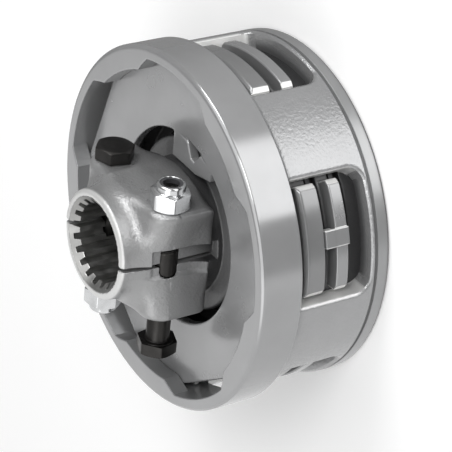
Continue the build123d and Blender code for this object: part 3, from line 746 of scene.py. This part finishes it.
def nut_surface(origin, axis, turn):
    """Lock nut as one closed loop: seat, hexagon with both ends turned down, collar, the insert's
    seat, and the bore."""
    hexes = hexagon(turn_angles(NUT_SIDES), turn)
    rows = [(6.9, 0.0), (7.6, 0.0), (8.25, 0.02)]
    for h in (*np.linspace(0.05, 1.3, 12), *np.linspace(1.6, NUT_HEX_H - 2.6, 5),
              *np.linspace(NUT_HEX_H - 2.3, NUT_HEX_H - 0.05, 14)):
        low = HEX_FACE_R + h * math.tan(math.radians(60))
        top = COLLAR_R + 0.75 + (NUT_HEX_H - h) * 1.9
        rows.append((smin(np.minimum(hexes, low), top, 0.25), h))
    rows += [(COLLAR_R + 0.35, NUT_HEX_H + 0.02), (COLLAR_R + 0.08, NUT_HEX_H + 0.15),
             (COLLAR_R, NUT_HEX_H + 0.5), (COLLAR_R, NUT_H - 1.5)]
    for a in np.linspace(0.15, 1.0, 6) * math.pi / 2:
        rows.append((COLLAR_R - COLLAR_ROUND * (1 - math.cos(a)),
                     NUT_H - COLLAR_ROUND * (1 - math.sin(a))))
    rows += [(5.75, NUT_H - 0.02), (5.6, NUT_H - 0.2), (5.6, NUT_H - 0.45),
             (5.7, INSERT_TOP + 0.03), (6.5, INSERT_TOP + 0.03), (6.62, INSERT_TOP),
             (6.62, INSERT_Z), (6.5, INSERT_Z - 0.02), (6.05, INSERT_Z - 0.05)]
    rows += [(BOLT_R + 0.03, h) for h in np.arange(INSERT_Z - 0.6, 0.75, -THREAD_PITCH / 8)]
    rows.append((6.25, 0.45))
    faces = grid_faces(NUT_SIDES, len(rows), True, True)
    return lathe(rows, NUT_SIDES, origin, axis, Z), faces.tolist()


# Materials

def put(tree, socket, value):
    """Links a socket to another one, or sets its own value."""
    if isinstance(value, bpy.types.NodeSocket):
        tree.links.new(value, socket)
    else:
        socket.default_value = value


def node(tree, kind, inputs=(), **settings):
    """Adds a shader node with its settings, and gives inputs their values or links."""
    made = tree.nodes.new("ShaderNode" + kind)
    for key, value in settings.items():
        setattr(made, key, value)
    for key, value in dict(inputs).items():
        put(tree, made.inputs[key], value)
    return made


def noise(tree, scale, detail=4.0, rough=0.55):
    """Noise on Object coordinates, which are in metres, so its scale is in cells per metre."""
    place = tree.nodes["Object place"].outputs["Object"]
    return node(tree, "TexNoise", {"Vector": place, "Scale": scale, "Detail": detail,
                                   "Roughness": rough}).outputs["Fac"]


def level(tree, source, low, high, at=(0.0, 1.0), curve="LINEAR"):
    """Number that goes from low to high while the source goes over the span at."""
    return node(tree, "MapRange", {"Value": source, "From Min": at[0], "From Max": at[1],
                                   "To Min": low, "To Max": high},
                interpolation_type=curve).outputs["Result"]


def uneven(tree, scale, low, high):
    """Number between low and high that follows a noise."""
    return level(tree, noise(tree, scale), low, high, (0.35, 0.65))


def combine(tree, how, one, two):
    """One number worked out from two."""
    return node(tree, "Math", {0: one, 1: two}, operation=how).outputs[0]


def blend(tree, factor, one, two):
    """Colour between one and two."""
    made = node(tree, "Mix", {"Factor": factor}, data_type="RGBA")
    for socket, value in ((made.inputs[6], one), (made.inputs[7], two)):
        put(tree, socket, value if isinstance(value, bpy.types.NodeSocket) else (*value, 1))
    return made.outputs[2]


def blank_material(name):
    """Material with a Principled shader and Object coordinates ready to use."""
    made = bpy.data.materials.new(name)
    made.use_nodes = True
    made.node_tree.nodes.new("ShaderNodeTexCoord").name = "Object place"
    return made, made.node_tree, made.node_tree.nodes["Principled BSDF"].inputs


def bumps(tree, inputs, *layers):
    """Chains bump layers of (height, distance in metres, strength)."""
    normal = None
    for height, distance, strength in layers:
        made = node(tree, "Bump", {"Strength": strength, "Distance": distance, "Height": height})
        if normal:
            tree.links.new(normal, made.inputs["Normal"])
        normal = made.outputs["Normal"]
    tree.links.new(normal, inputs["Normal"])


def enamel(name, colour, gloss, metallic=0.5, cast=0.0):
    """Grey metallic enamel with slight shade and gloss changes, over a cast or a smooth surface.

    Where the mark bare is 1 the surface is machined bright steel; where the mark for painted
    shade is 1 the enamel is painted near-black and dull as shade; where smooth is 1 the casting's
    grain is turned away. A piece without a mark has 0 there."""
    made, tree, inputs = blank_material(name)
    bare, raw, smooth = (node(tree, "Attribute", attribute_name=key).outputs["Fac"]
                         for key in ("bare", "raw", "smooth"))
    shade = level(tree, noise(tree, 38.0, 3.0), 0.0, 1.0, (0.3, 0.7))
    painted = blend(tree, shade, [c * 0.92 for c in colour], colour)
    # Painted shade: the enamel's colour is blended towards near-black where its mark is set
    with_painted_shade = blend(tree, raw, painted, PAINTED_SHADE_DARK)
    put(tree, inputs["Base Color"], blend(tree, bare, with_painted_shade, BARE_STEEL))
    rough = level(tree, smooth, uneven(tree, 60.0, gloss * 0.88, gloss * 1.15), 0.3)
    put(tree, inputs["Roughness"], level(tree, bare, level(tree, raw, rough, 0.6), 0.4))
    put(tree, inputs["Metallic"], level(tree, bare, level(tree, raw, metallic, 0.1), 0.45))
    inputs["Coat Weight"].default_value = 0.3
    inputs["Coat Roughness"].default_value = 0.1
    layers = [(noise(tree, 1500.0, 2.0), 0.00002, 0.15)]
    if cast:
        grain = combine(tree, "MULTIPLY", noise(tree, 600.0, 5.0, 0.6),
                        level(tree, smooth, 1.0, 0.0))
        layers.insert(0, (grain, 0.0004, cast))
    bumps(tree, inputs, *layers)
    return made


def metal(name, colour, rough, grain=0.1):
    """Plain metal with fine grain and uneven gloss."""
    made, tree, inputs = blank_material(name)
    shade = level(tree, noise(tree, 90.0), 0.0, 1.0, (0.3, 0.7))
    put(tree, inputs["Base Color"], blend(tree, shade, [c * 0.8 for c in colour], colour))
    inputs["Metallic"].default_value = 1.0
    put(tree, inputs["Roughness"], uneven(tree, 160.0, rough * 0.8, rough * 1.3))
    bumps(tree, inputs, (noise(tree, 700.0, 3.0), 0.00003, grain))
    return made


def lining_material(name):
    """Pressed friction lining: dark, with light and coppery fibres."""
    made, tree, inputs = blank_material(name)
    place = tree.nodes["Object place"].outputs["Object"]
    fibre = node(tree, "TexVoronoi", {"Vector": place, "Scale": 1400.0}).outputs["Distance"]
    light = combine(tree, "MULTIPLY", level(tree, fibre, 1.0, 0.0, (0.05, 0.35)),
                    noise(tree, 500.0))
    put(tree, inputs["Base Color"],
        blend(tree, light, (0.02, 0.019, 0.018), (0.09, 0.07, 0.055)))
    inputs["Roughness"].default_value = 0.85
    bumps(tree, inputs, (fibre, 0.0001, 0.4))
    return made


# Marks for the enamel, from each point's place and normal

def round_way(normals, t):
    """How far a normal points round the axis."""
    return np.abs(normals[:, 1] * np.cos(t) - normals[:, 0] * np.sin(t))


def drum_marks(points, normals):
    """Machined window ends; painted shade inside the drum, on the window sills, in the groove and
    on the relief by the ring; and a smooth rear band.
    """
    r, t, z = xyz_round(points)
    bare = (soft(round_way(normals, t), 0.6, 0.8) * soft(r, DRUM_IN - 1, DRUM_IN)
            * soft(z, WINDOW_REAR, WINDOW_REAR + 4))
    # Painted shade: darker inside the drum, on the window sills, in the groove and by the ring
    inner = (soft(DRUM_IN + 0.5 - r, 0.0, 0.4) * soft(z, 5.0, 6.0)
             * soft(RING_REAR + 2 - z, 0, 1))
    sill = (soft(WINDOW_REAR + 0.8 - z, 0, 0.5) * soft(z, 8.6, 9.2)
            * soft(normals[:, 2], 0.5, 0.8) * soft(DRUM_R - 1.5 - r, 0, 7.0) * 0.85)
    crease_shade = (0.6 * soft(DRUM_R - 0.04 - r, 0, 0.3) * soft(r, DRUM_R - 1.5, DRUM_R - 1.2)
            * (np.abs(z - 30) > 21))
    return {"bare": bare, "raw": np.maximum.reduce([inner, sill, crease_shade]),
            "smooth": np.maximum(soft(8.0 - z, -0.2, 0.2), bare)}


def plate_marks(points, normals):
    """Machined lug ends, and painted shade on the plates inside the drum and on the lug faces
    that look along the axis.
    """
    r, t, z = xyz_round(points)
    around = round_way(normals, t)
    lug = soft(r, PLATE_R, PLATE_R + 1)
    # Painted shade: darker on the plates inside the drum and on the lug faces that look along the
    # axis
    deep = (1 - soft(r, PLATE_R - 1, PLATE_R + 2)) * soft(58 - z, 0, 1)
    top = 0.5 * soft(np.abs(normals[:, 2]), 0.8, 0.95) * lug
    return {"bare": soft(around, 0.35, 0.5) * lug, "raw": np.maximum(deep, top),
            "smooth": soft(around, 0.6, 0.8) * lug}


def ring_marks(points, normals):
    """Painted shade on the bore, which is made darker."""
    t = xyz_round(points)[1]
    inward = -(normals[:, 0] * np.cos(t) + normals[:, 1] * np.sin(t))
    # Painted shade: the bore is darkened
    return {"raw": 0.3 * soft(inward, 0.3, 0.8)}


def hub_marks(points, normals):
    """Machined nose face, painted shade on the block sides and the neck, and plain toothed rear.
    """
    e, s, z = xyz_hub(points)
    face = soft(z, NOSE_TOP - 1.6, NOSE_TOP - 1.2) * soft(normals[:, 2], 0.3, 0.6)
    rear = 1 - soft(z, 50, 54)
    # Painted shade: darker below the clamp blocks, and on the blocks' sides lower down
    sides = (0.6 * soft(np.abs(normals @ S), 0.4, 0.8)
             + 0.45 * soft(np.abs(normals @ E), 0.8, 0.95))
    sides = sides * (1 - soft(z, 78, 92)) * soft(np.hypot(e, s), 29, 31)
    raw = 0.7 * (1 - soft(z, 60, 80)) + sides
    return {"bare": np.maximum(face * 0.8, rear * 0.3), "raw": np.minimum(raw, 1),
            "smooth": np.maximum(face, rear)}


# Sizes and colours that a user would change

def colour_choice(name, about, value):
    """Colour property of the sidebar."""
    return bpy.props.FloatVectorProperty(name=name, description=about, default=value, size=3,
                                         min=0, max=1, subtype="COLOR")


def size_choice(name, about, value):
    """Length property of the sidebar, given in millimetres and held in metres."""
    return bpy.props.FloatProperty(name=name, description=about, default=value * MM,
                                   min=0.00002, max=0.02, unit="LENGTH", precision=5)


class ClutchSizes(bpy.types.PropertyGroup):
    """Edge and fillet sizes of the visible castings."""
    drum_round: size_choice("Drum edge", "Blend width along the drum's edges", 0.9)
    window_break: size_choice("Window break", "Bevel round each drum window, outside", 1.2)
    ring_round: size_choice("Ring edge", "Blend width along the ring's edges", 0.7)
    ring_edge: size_choice("Ring bevel", "Bevel on the ring's front outer edge", 1.5)
    seat_round: size_choice("Seat edge", "Blend width along the edges of the nut seats", 4.5)
    block_fillet: size_choice("Block fillet", "Blend width from clamp blocks to nose", 9.5)


class ClutchColours(bpy.types.PropertyGroup):
    """Colours of the finishes."""
    drum_grey: colour_choice("Drum grey", "Enamel on the drum", (0.42, 0.423, 0.427))
    ring_grey: colour_choice("Ring grey", "Enamel on ring and spring", (0.42, 0.423, 0.427))
    hub_grey: colour_choice("Hub grey", "Enamel on the hub", (0.40, 0.402, 0.405))
    plate_grey: colour_choice("Plate grey", "Enamel on the plates' lugs", (0.34, 0.343, 0.346))
    zinc: colour_choice("Zinc", "Bright plating of the nuts", (0.86, 0.87, 0.88))
    black: colour_choice("Black oxide", "Finish of the bolts", (0.06, 0.058, 0.056))


class ClutchOperator:
    """Shared settings of the building steps."""
    bl_options = {"REGISTER", "UNDO"}


class CLUTCH_OT_drum(ClutchOperator, bpy.types.Operator):
    """Builds the windowed drum with its cast wall and machined rim"""
    bl_idname = "clutch.drum"
    bl_label = "Drum"

    def execute(self, context):
        grey = context.scene.clutch_colours.drum_grey
        radii = (BEARING_R, REAR_RECESS_R, FRONT_RECESS_R, FLANGE_CIRCLE - FLANGE_HOLE_R,
                 FLANGE_CIRCLE + FLANGE_HOLE_R, DRUM_IN, LIP_R, HEAD_R, DRUM_R - 0.8)
        heights = (0, BUSH_REAR, GROOVE_Z - 0.5, GROOVE_Z + 0.5, WINDOW_REAR, FRONT_RECESS,
                   REAR_WALL, RING_REAR, LUG_BASE, LUG_TOP)
        axes = (grid_lines(28, DRUM_R + 1, 2.0, radii, 0.5, 0.35, 0.6),
                turn_lines(1.5, (WINDOW_TURN,)),
                grid_lines(-1, LUG_TOP + 1, 2.2, heights, 0.42, 0.3, 0.4))
        net_piece("drum_shell", drum_field, axes, drum_marks, "drum_side", "drum_paint",
                  enamel("drum_enamel", grey, 0.12, 0.55, 0.85), "drum_housing")
        return {"FINISHED"}


class CLUTCH_OT_ring(ClutchOperator, bpy.types.Operator):
    """Builds the setting ring with its stepped front opening"""
    bl_idname = "clutch.ring"
    bl_label = "Setting ring"

    def execute(self, context):
        grey = context.scene.clutch_colours.ring_grey
        radii = (LAND_R, RING_LUG_IN, RING_BORE, RING_R - 0.5)
        turns = (MOUTH_TURN, MOUTH_TURN + SLANT_TURN, 180 / WINDOWS - RING_LUG_TURN)
        heights = (RING_REAR, RING_LUG_FRONT, LAND_REAR, RING_TOP - 0.4)
        axes = (grid_lines(LAND_R - 2, RING_R + 1, 1.6, radii),
                turn_lines(1.2, turns, RING_SHIFT_TURN),
                grid_lines(RING_REAR - 1, RING_TOP + 1, 1.8, heights))
        net_piece("ring_shell", ring_field, axes, ring_marks, "drum_side", "ring_paint",
                  enamel("ring_enamel", grey, 0.17, 0.55), "setting_ring")
        return {"FINISHED"}


class CLUTCH_OT_spring(ClutchOperator, bpy.types.Operator):
    """Builds the disc spring with its flats and inner tabs"""
    bl_idname = "clutch.spring"
    bl_label = "Disc spring"

    def execute(self, context):
        grey = context.scene.clutch_colours.ring_grey
        radii = (37, 43, SPRING_HOLE, SPRING_RIM, SPRING_FLAT)
        turns = [spot + half for half in (0, 180) for spot in TAB_SPOTS]
        heights = (SPRING_FRONT - SPRING_THICK - 0.7, SPRING_FRONT - 0.4)
        axes = (grid_lines(33, SPRING_RIM + 1, 1.6, radii, 0.5, 0.2, 1.5),
                np.radians(grid_lines(0, 360, 1.5, turns, 0.6, 0.2, 6.0)[:-1]),
                grid_lines(SPRING_FRONT - 8.5, SPRING_FRONT + 1, 1.0, heights, 0.33, 0.3, 1.0))
        net_piece("spring_disc", spring_field, axes, None, "drum_side", "spring_steel",
                  enamel("spring_enamel", grey, 0.24), "disc_spring")
        return {"FINISHED"}


class CLUTCH_OT_plates(ClutchOperator, bpy.types.Operator):
    """Builds the pressure plate and the intermediate plate, and finishes the lined plates"""
    bl_idname = "clutch.plates"
    bl_label = "Plates"

    def execute(self, context):
        grey = context.scene.clutch_colours.plate_grey
        # Painted shade and light: from one grey, the pressure plate's enamel is darkened and the
        # middle plate's lightened
        shaded_pressure_enamel = enamel("pressure_plate_shaded_enamel", [c * 0.88 for c in grey], 0.24)
        light = enamel("middle_plate_lit_enamel", [c * 1.12 for c in grey], 0.24)
        radii = (PLATE_BORE, FULCRUM_IN, FULCRUM_OUT, PLATE_R, LUG_R - LUG_STEP, LUG_R)
        radial = grid_lines(PLATE_BORE - 1, LUG_R + 2, 2.5, radii, 0.45, 0.35, 0.6)
        turns = (LUG_TURN, LUG_TURN - 2)
        heights = (PRESSURE_REAR, PRESSURE_FRONT, PRESSURE_FRONT - 2.2, FULCRUM_TOP)
        axes = (radial, turn_lines(2.0, turns),
                grid_lines(PRESSURE_REAR - 1, FULCRUM_TOP + 1, 1.8, heights, 0.4, 0.35, 0.6))
        net_piece("pressure_casting", pressure_field, axes, plate_marks, "drum_side",
                  "plate_steel", shaded_pressure_enamel, "pressure_plate")
        heights = (PLATE_REAR - 1, PLATE_REAR, PLATE_FRONT, BAR_TOP)
        axes = (radial, turn_lines(2.0, (*turns, BAR_TURN)),
                grid_lines(PLATE_REAR - 2, BAR_TOP + 1, 1.8, heights, 0.4, 0.35, 0.6))
        net_piece("middle_casting", intermediate_field, axes, plate_marks, "drum_side",
                  "plate_steel", light, "intermediate_plate")
        ends = ("front", "rear")
        dress_nodes([end + "_drive_plate" for end in ends],
                    metal("sheet_core", (0.1, 0.1, 0.102), 0.45))
        dress_nodes([f"{end}_plate_{side}_lining" for end in ends for side in ends],
                    lining_material("friction_lining"))
        return {"FINISHED"}


class CLUTCH_OT_hub(ClutchOperator, bpy.types.Operator):
    """Builds the split clamp hub and its splined sleeve, and finishes the bearing parts"""
    bl_idname = "clutch.hub"
    bl_label = "Clamp hub"

    def execute(self, context):
        grey = context.scene.clutch_colours.hub_grey
        coarse, rim = 1.15, SHOULDER_R + 1
        across = grid_lines(-rim, rim, coarse, both(FLAT_REACH, NOSE_R, FOOT, 37), 0.6, 0.15, 1.0)
        web = (FOOT + BOLT_OFFSET + BOLT_HOLE) / 2
        across = np.sort(np.append(across, (-web, web)))
        along = grid_lines(-rim, rim, coarse, both(SLIT_HALF, FLAT_HALF, SEAT), 0.5, 0.15, 1.2)
        heights = (SHOULDER_END, SLIT_END, CLAMP_REAR, BOLT_Z - BOLT_HOLE, BOLT_Z + BOLT_HOLE,
                   FLAT_END, BOLT_Z + BOSS_R, NOSE_TOP - 0.8)
        up = grid_lines(0, NOSE_TOP + 1, coarse, heights, 0.45, 0.2, 1.2)
        heights = (JOURNAL_REAR, DRIVE_REAR, DRIVE_FRONT)
        up = np.append(grid_lines(0, 58, 2.2, heights, 0.6, 0.3, 0.4), up[up > 58.3])
        net_piece("hub_body", hub_field, (across, along, up), hub_marks, "hub_side", "hub_cast",
                  enamel("hub_enamel", grey, 0.3, 0.55, 0.9), "clamp_hub", ways=ALONG_HUB)
        bare = metal("broached_steel", (0.46, 0.46, 0.45), 0.38)
        for side, name in ((1, "upper"), (-1, "lower")):
            points, faces = spline_sleeve(side)
            piece = make_piece("hub_spline_" + name, points, faces, sharp=25)
            finish_piece(piece, "hub_side", "hub_cast", bare)
        dress_nodes(("hub_bush", "front_thrust_washer", "rear_thrust_washer"),
                    metal("bearing_bronze", (0.55, 0.36, 0.17), 0.35))
        dress_nodes(("retaining_ring",), metal("spring_black", (0.06, 0.06, 0.062), 0.4))
        return {"FINISHED"}


class CLUTCH_OT_bolts(ClutchOperator, bpy.types.Operator):
    """Builds the two clamp bolts and their lock nuts, left loose"""
    bl_idname = "clutch.bolts"
    bl_label = "Bolts and nuts"

    def execute(self, context):
        colours = context.scene.clutch_colours
        black = metal("black_oxide", colours.black, 0.38, 0.15)
        zinc = metal("zinc_plate", colours.zinc, 0.2, 0.08)
        nylon = enamel("insert_nylon", (0.06, 0.06, 0.065), 0.5, 0.0)
        pulled = BOLT_LENGTH - SEAT - BOLT_OUT
        for name, side, head_at, nut_at, head_turn, nut_turn in (
                ("near", 1, -pulled, SEAT, 11.4, 11.4), ("far", -1, -SEAT, pulled, 12.0, 20.0)):
            axis = S * side
            base = E * side * BOLT_OFFSET + Z * BOLT_Z
            points, faces = bolt_surface(base + axis * head_at, axis, math.radians(head_turn))
            finish_piece(make_piece(name + "_bolt", points, faces, sharp=28),
                         name + "_bolt", "black_bolt", black, name + "_clamp_bolt")
            points, faces = nut_surface(base + axis * nut_at, axis, math.radians(nut_turn))
            finish_piece(make_piece(name + "_nut", points, faces, sharp=28),
                         name + "_bolt", "bright_nut", zinc, name + "_lock_nut")
            dress_nodes((name + "_nut_insert",), nylon)
        return {"FINISHED"}


def placed(name, data, right, up, back, at):
    """Links an object that is turned to three directions, at a place."""
    made = bpy.data.objects.new(name, data)
    bpy.context.scene.collection.objects.link(made)
    made.matrix_world = Matrix([*zip(right, up, back, at), (0, 0, 0, 1)])
    return made


def soft_lamp(name, place, size, power):
    """Square area lamp that looks at the clutch."""
    lamp = bpy.data.lights.new(name, "AREA")
    lamp.shape = "RECTANGLE"
    lamp.size = lamp.size_y = size
    lamp.energy = power
    back = (np.array(place) - LAMP_TARGET) / np.linalg.norm(np.array(place) - LAMP_TARGET)
    right = np.cross(Z, back)
    right /= np.linalg.norm(right)
    placed(name, lamp, right, np.cross(back, right), back, place)


def studio_world(tree):
    """Studio as seen by everything but the camera, which sees plain white.

    Pale on the light table's side, dim on the other, with soft panels: each panel is a product
    of four soft steps, two of the direction's azimuth and two of its height."""
    tree.nodes.clear()
    place = node(tree, "TexCoord").outputs["Generated"]

    def share(way):
        dot = node(tree, "VectorMath", {0: place, 1: way}, operation="DOT_PRODUCT")
        return dot.outputs["Value"]

    glow = level(tree, share(TABLE_WAY), TABLE_GLOW, ROOM_GLOW, TABLE_EDGE, "SMOOTHSTEP")
    azimuth = combine(tree, "ARCTAN2", share((0.0, 1.0, 0.0)), share((1.0, 0.0, 0.0)))
    height = share((0.0, 0.0, 1.0))
    for low, high, soft_low, soft_high, bottom, top, power in PANELS:
        panel = None
        for way, edge, width, start, end in ((azimuth, low, soft_low, 0, 1),
                                             (azimuth, high, soft_high, power, 0),
                                             (height, bottom, PANEL_SOFT, 0, 1),
                                             (height, top, PANEL_SOFT, 1, 0)):
            at = np.radians((edge - width, edge + width))
            at = at if way is azimuth else np.sin(at)
            step = level(tree, way, start, end, at, "SMOOTHSTEP")
            panel = combine(tree, "MULTIPLY", panel, step) if panel else step
        glow = combine(tree, "ADD", glow, panel)
    lit = node(tree, "Background", {"Color": WHITE, "Strength": glow})
    seen = node(tree, "Background", {"Color": WHITE, "Strength": 1.0})
    camera_ray = node(tree, "LightPath").outputs["Is Camera Ray"]
    mix = node(tree, "MixShader", {0: camera_ray, 1: lit.outputs[0], 2: seen.outputs[0]})
    node(tree, "OutputWorld", {0: mix.outputs[0]})


def floor_material():
    """Pale floor: white to the camera where the lamps reach it, grey in the object's shadow, and
    clear to reflections, so that the drum's sides show the studio."""
    made = bpy.data.materials.new("pale_floor")
    made.use_nodes = True
    tree = made.node_tree
    tree.nodes.clear()
    path = node(tree, "LightPath").outputs
    seen, bounce = (node(tree, "BsdfDiffuse", {"Color": colour}).outputs[0]
                    for colour in (FLOOR_WHITE, FLOOR_GREY))
    solid = node(tree, "MixShader", {0: path["Is Camera Ray"], 1: bounce, 2: seen}).outputs[0]
    clear = node(tree, "BsdfTransparent").outputs[0]
    mix = node(tree, "MixShader", {0: path["Is Glossy Ray"], 1: solid, 2: clear})
    node(tree, "OutputMaterial", {0: mix.outputs[0]})
    return made


class CLUTCH_OT_stage(ClutchOperator, bpy.types.Operator):
    """Sets up the pale floor, the soft lamps and the camera"""
    bl_idname = "clutch.stage"
    bl_label = "Stage"

    def execute(self, context):
        scene = context.scene
        scene.view_settings.view_transform = "Standard"
        lens = bpy.data.cameras.new("photo_camera")
        lens.sensor_width = 36.0
        lens.lens = LENS_PIXELS / PHOTO_PIXELS * lens.sensor_width
        lens.clip_start, lens.clip_end = 0.05, 20.0
        up, back = ([-part for part in way] for way in (VIEW_DOWN, VIEW_AHEAD))
        scene.camera = placed("photo_camera", lens, VIEW_RIGHT, up, back, CAMERA_AT)
        mesh = bpy.data.meshes.new("floor")
        corners = ((-1, -1), (1, -1), (1, 1), (-1, 1))
        mesh.from_pydata([(x * FLOOR_HALF, y * FLOOR_HALF, 0) for x, y in corners], [],
                         [(0, 1, 2, 3)])
        mesh.materials.append(floor_material())
        floor = bpy.data.objects.new("floor", mesh)
        scene.collection.objects.link(floor)
        scene.world = bpy.data.worlds.new("studio")
        scene.world.use_nodes = True
        studio_world(scene.world.node_tree)
        for lamp in LAMPS:
            soft_lamp(*lamp)
        return {"FINISHED"}


class CLUTCH_PT_panel(bpy.types.Panel):
    """Sidebar panel that lists the sizes, the colours and the building steps"""
    bl_idname = "CLUTCH_PT_panel"
    bl_label = "Friction slip clutch"
    bl_space_type = "VIEW_3D"
    bl_region_type = "UI"
    bl_category = "Clutch"

    def draw(self, context):
        for group in (context.scene.clutch_sizes, context.scene.clutch_colours):
            for key in group.bl_rna.properties.keys():
                if key not in ("rna_type", "name"):
                    self.layout.prop(group, key)
        for step in STEPS:
            self.layout.operator(step.bl_idname)


STEPS = (CLUTCH_OT_stage, CLUTCH_OT_drum, CLUTCH_OT_ring, CLUTCH_OT_spring, CLUTCH_OT_plates,
         CLUTCH_OT_hub, CLUTCH_OT_bolts)
CLASSES = (ClutchSizes, ClutchColours, *STEPS, CLUTCH_PT_panel)


def register():
    for made in CLASSES:
        bpy.utils.register_class(made)
    bpy.types.Scene.clutch_sizes = bpy.props.PointerProperty(type=ClutchSizes)
    bpy.types.Scene.clutch_colours = bpy.props.PointerProperty(type=ClutchColours)


def unregister():
    del bpy.types.Scene.clutch_colours
    del bpy.types.Scene.clutch_sizes
    for made in reversed(CLASSES):
        bpy.utils.unregister_class(made)


def main():
    """Registers the add-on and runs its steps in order."""
    register()
    bpy.ops.clutch.stage()
    bpy.ops.clutch.drum()
    bpy.ops.clutch.ring()
    bpy.ops.clutch.spring()
    bpy.ops.clutch.plates()
    bpy.ops.clutch.hub()
    bpy.ops.clutch.bolts()
    bpy.context.view_layer.update()


if __name__ == "__main__":
    main()
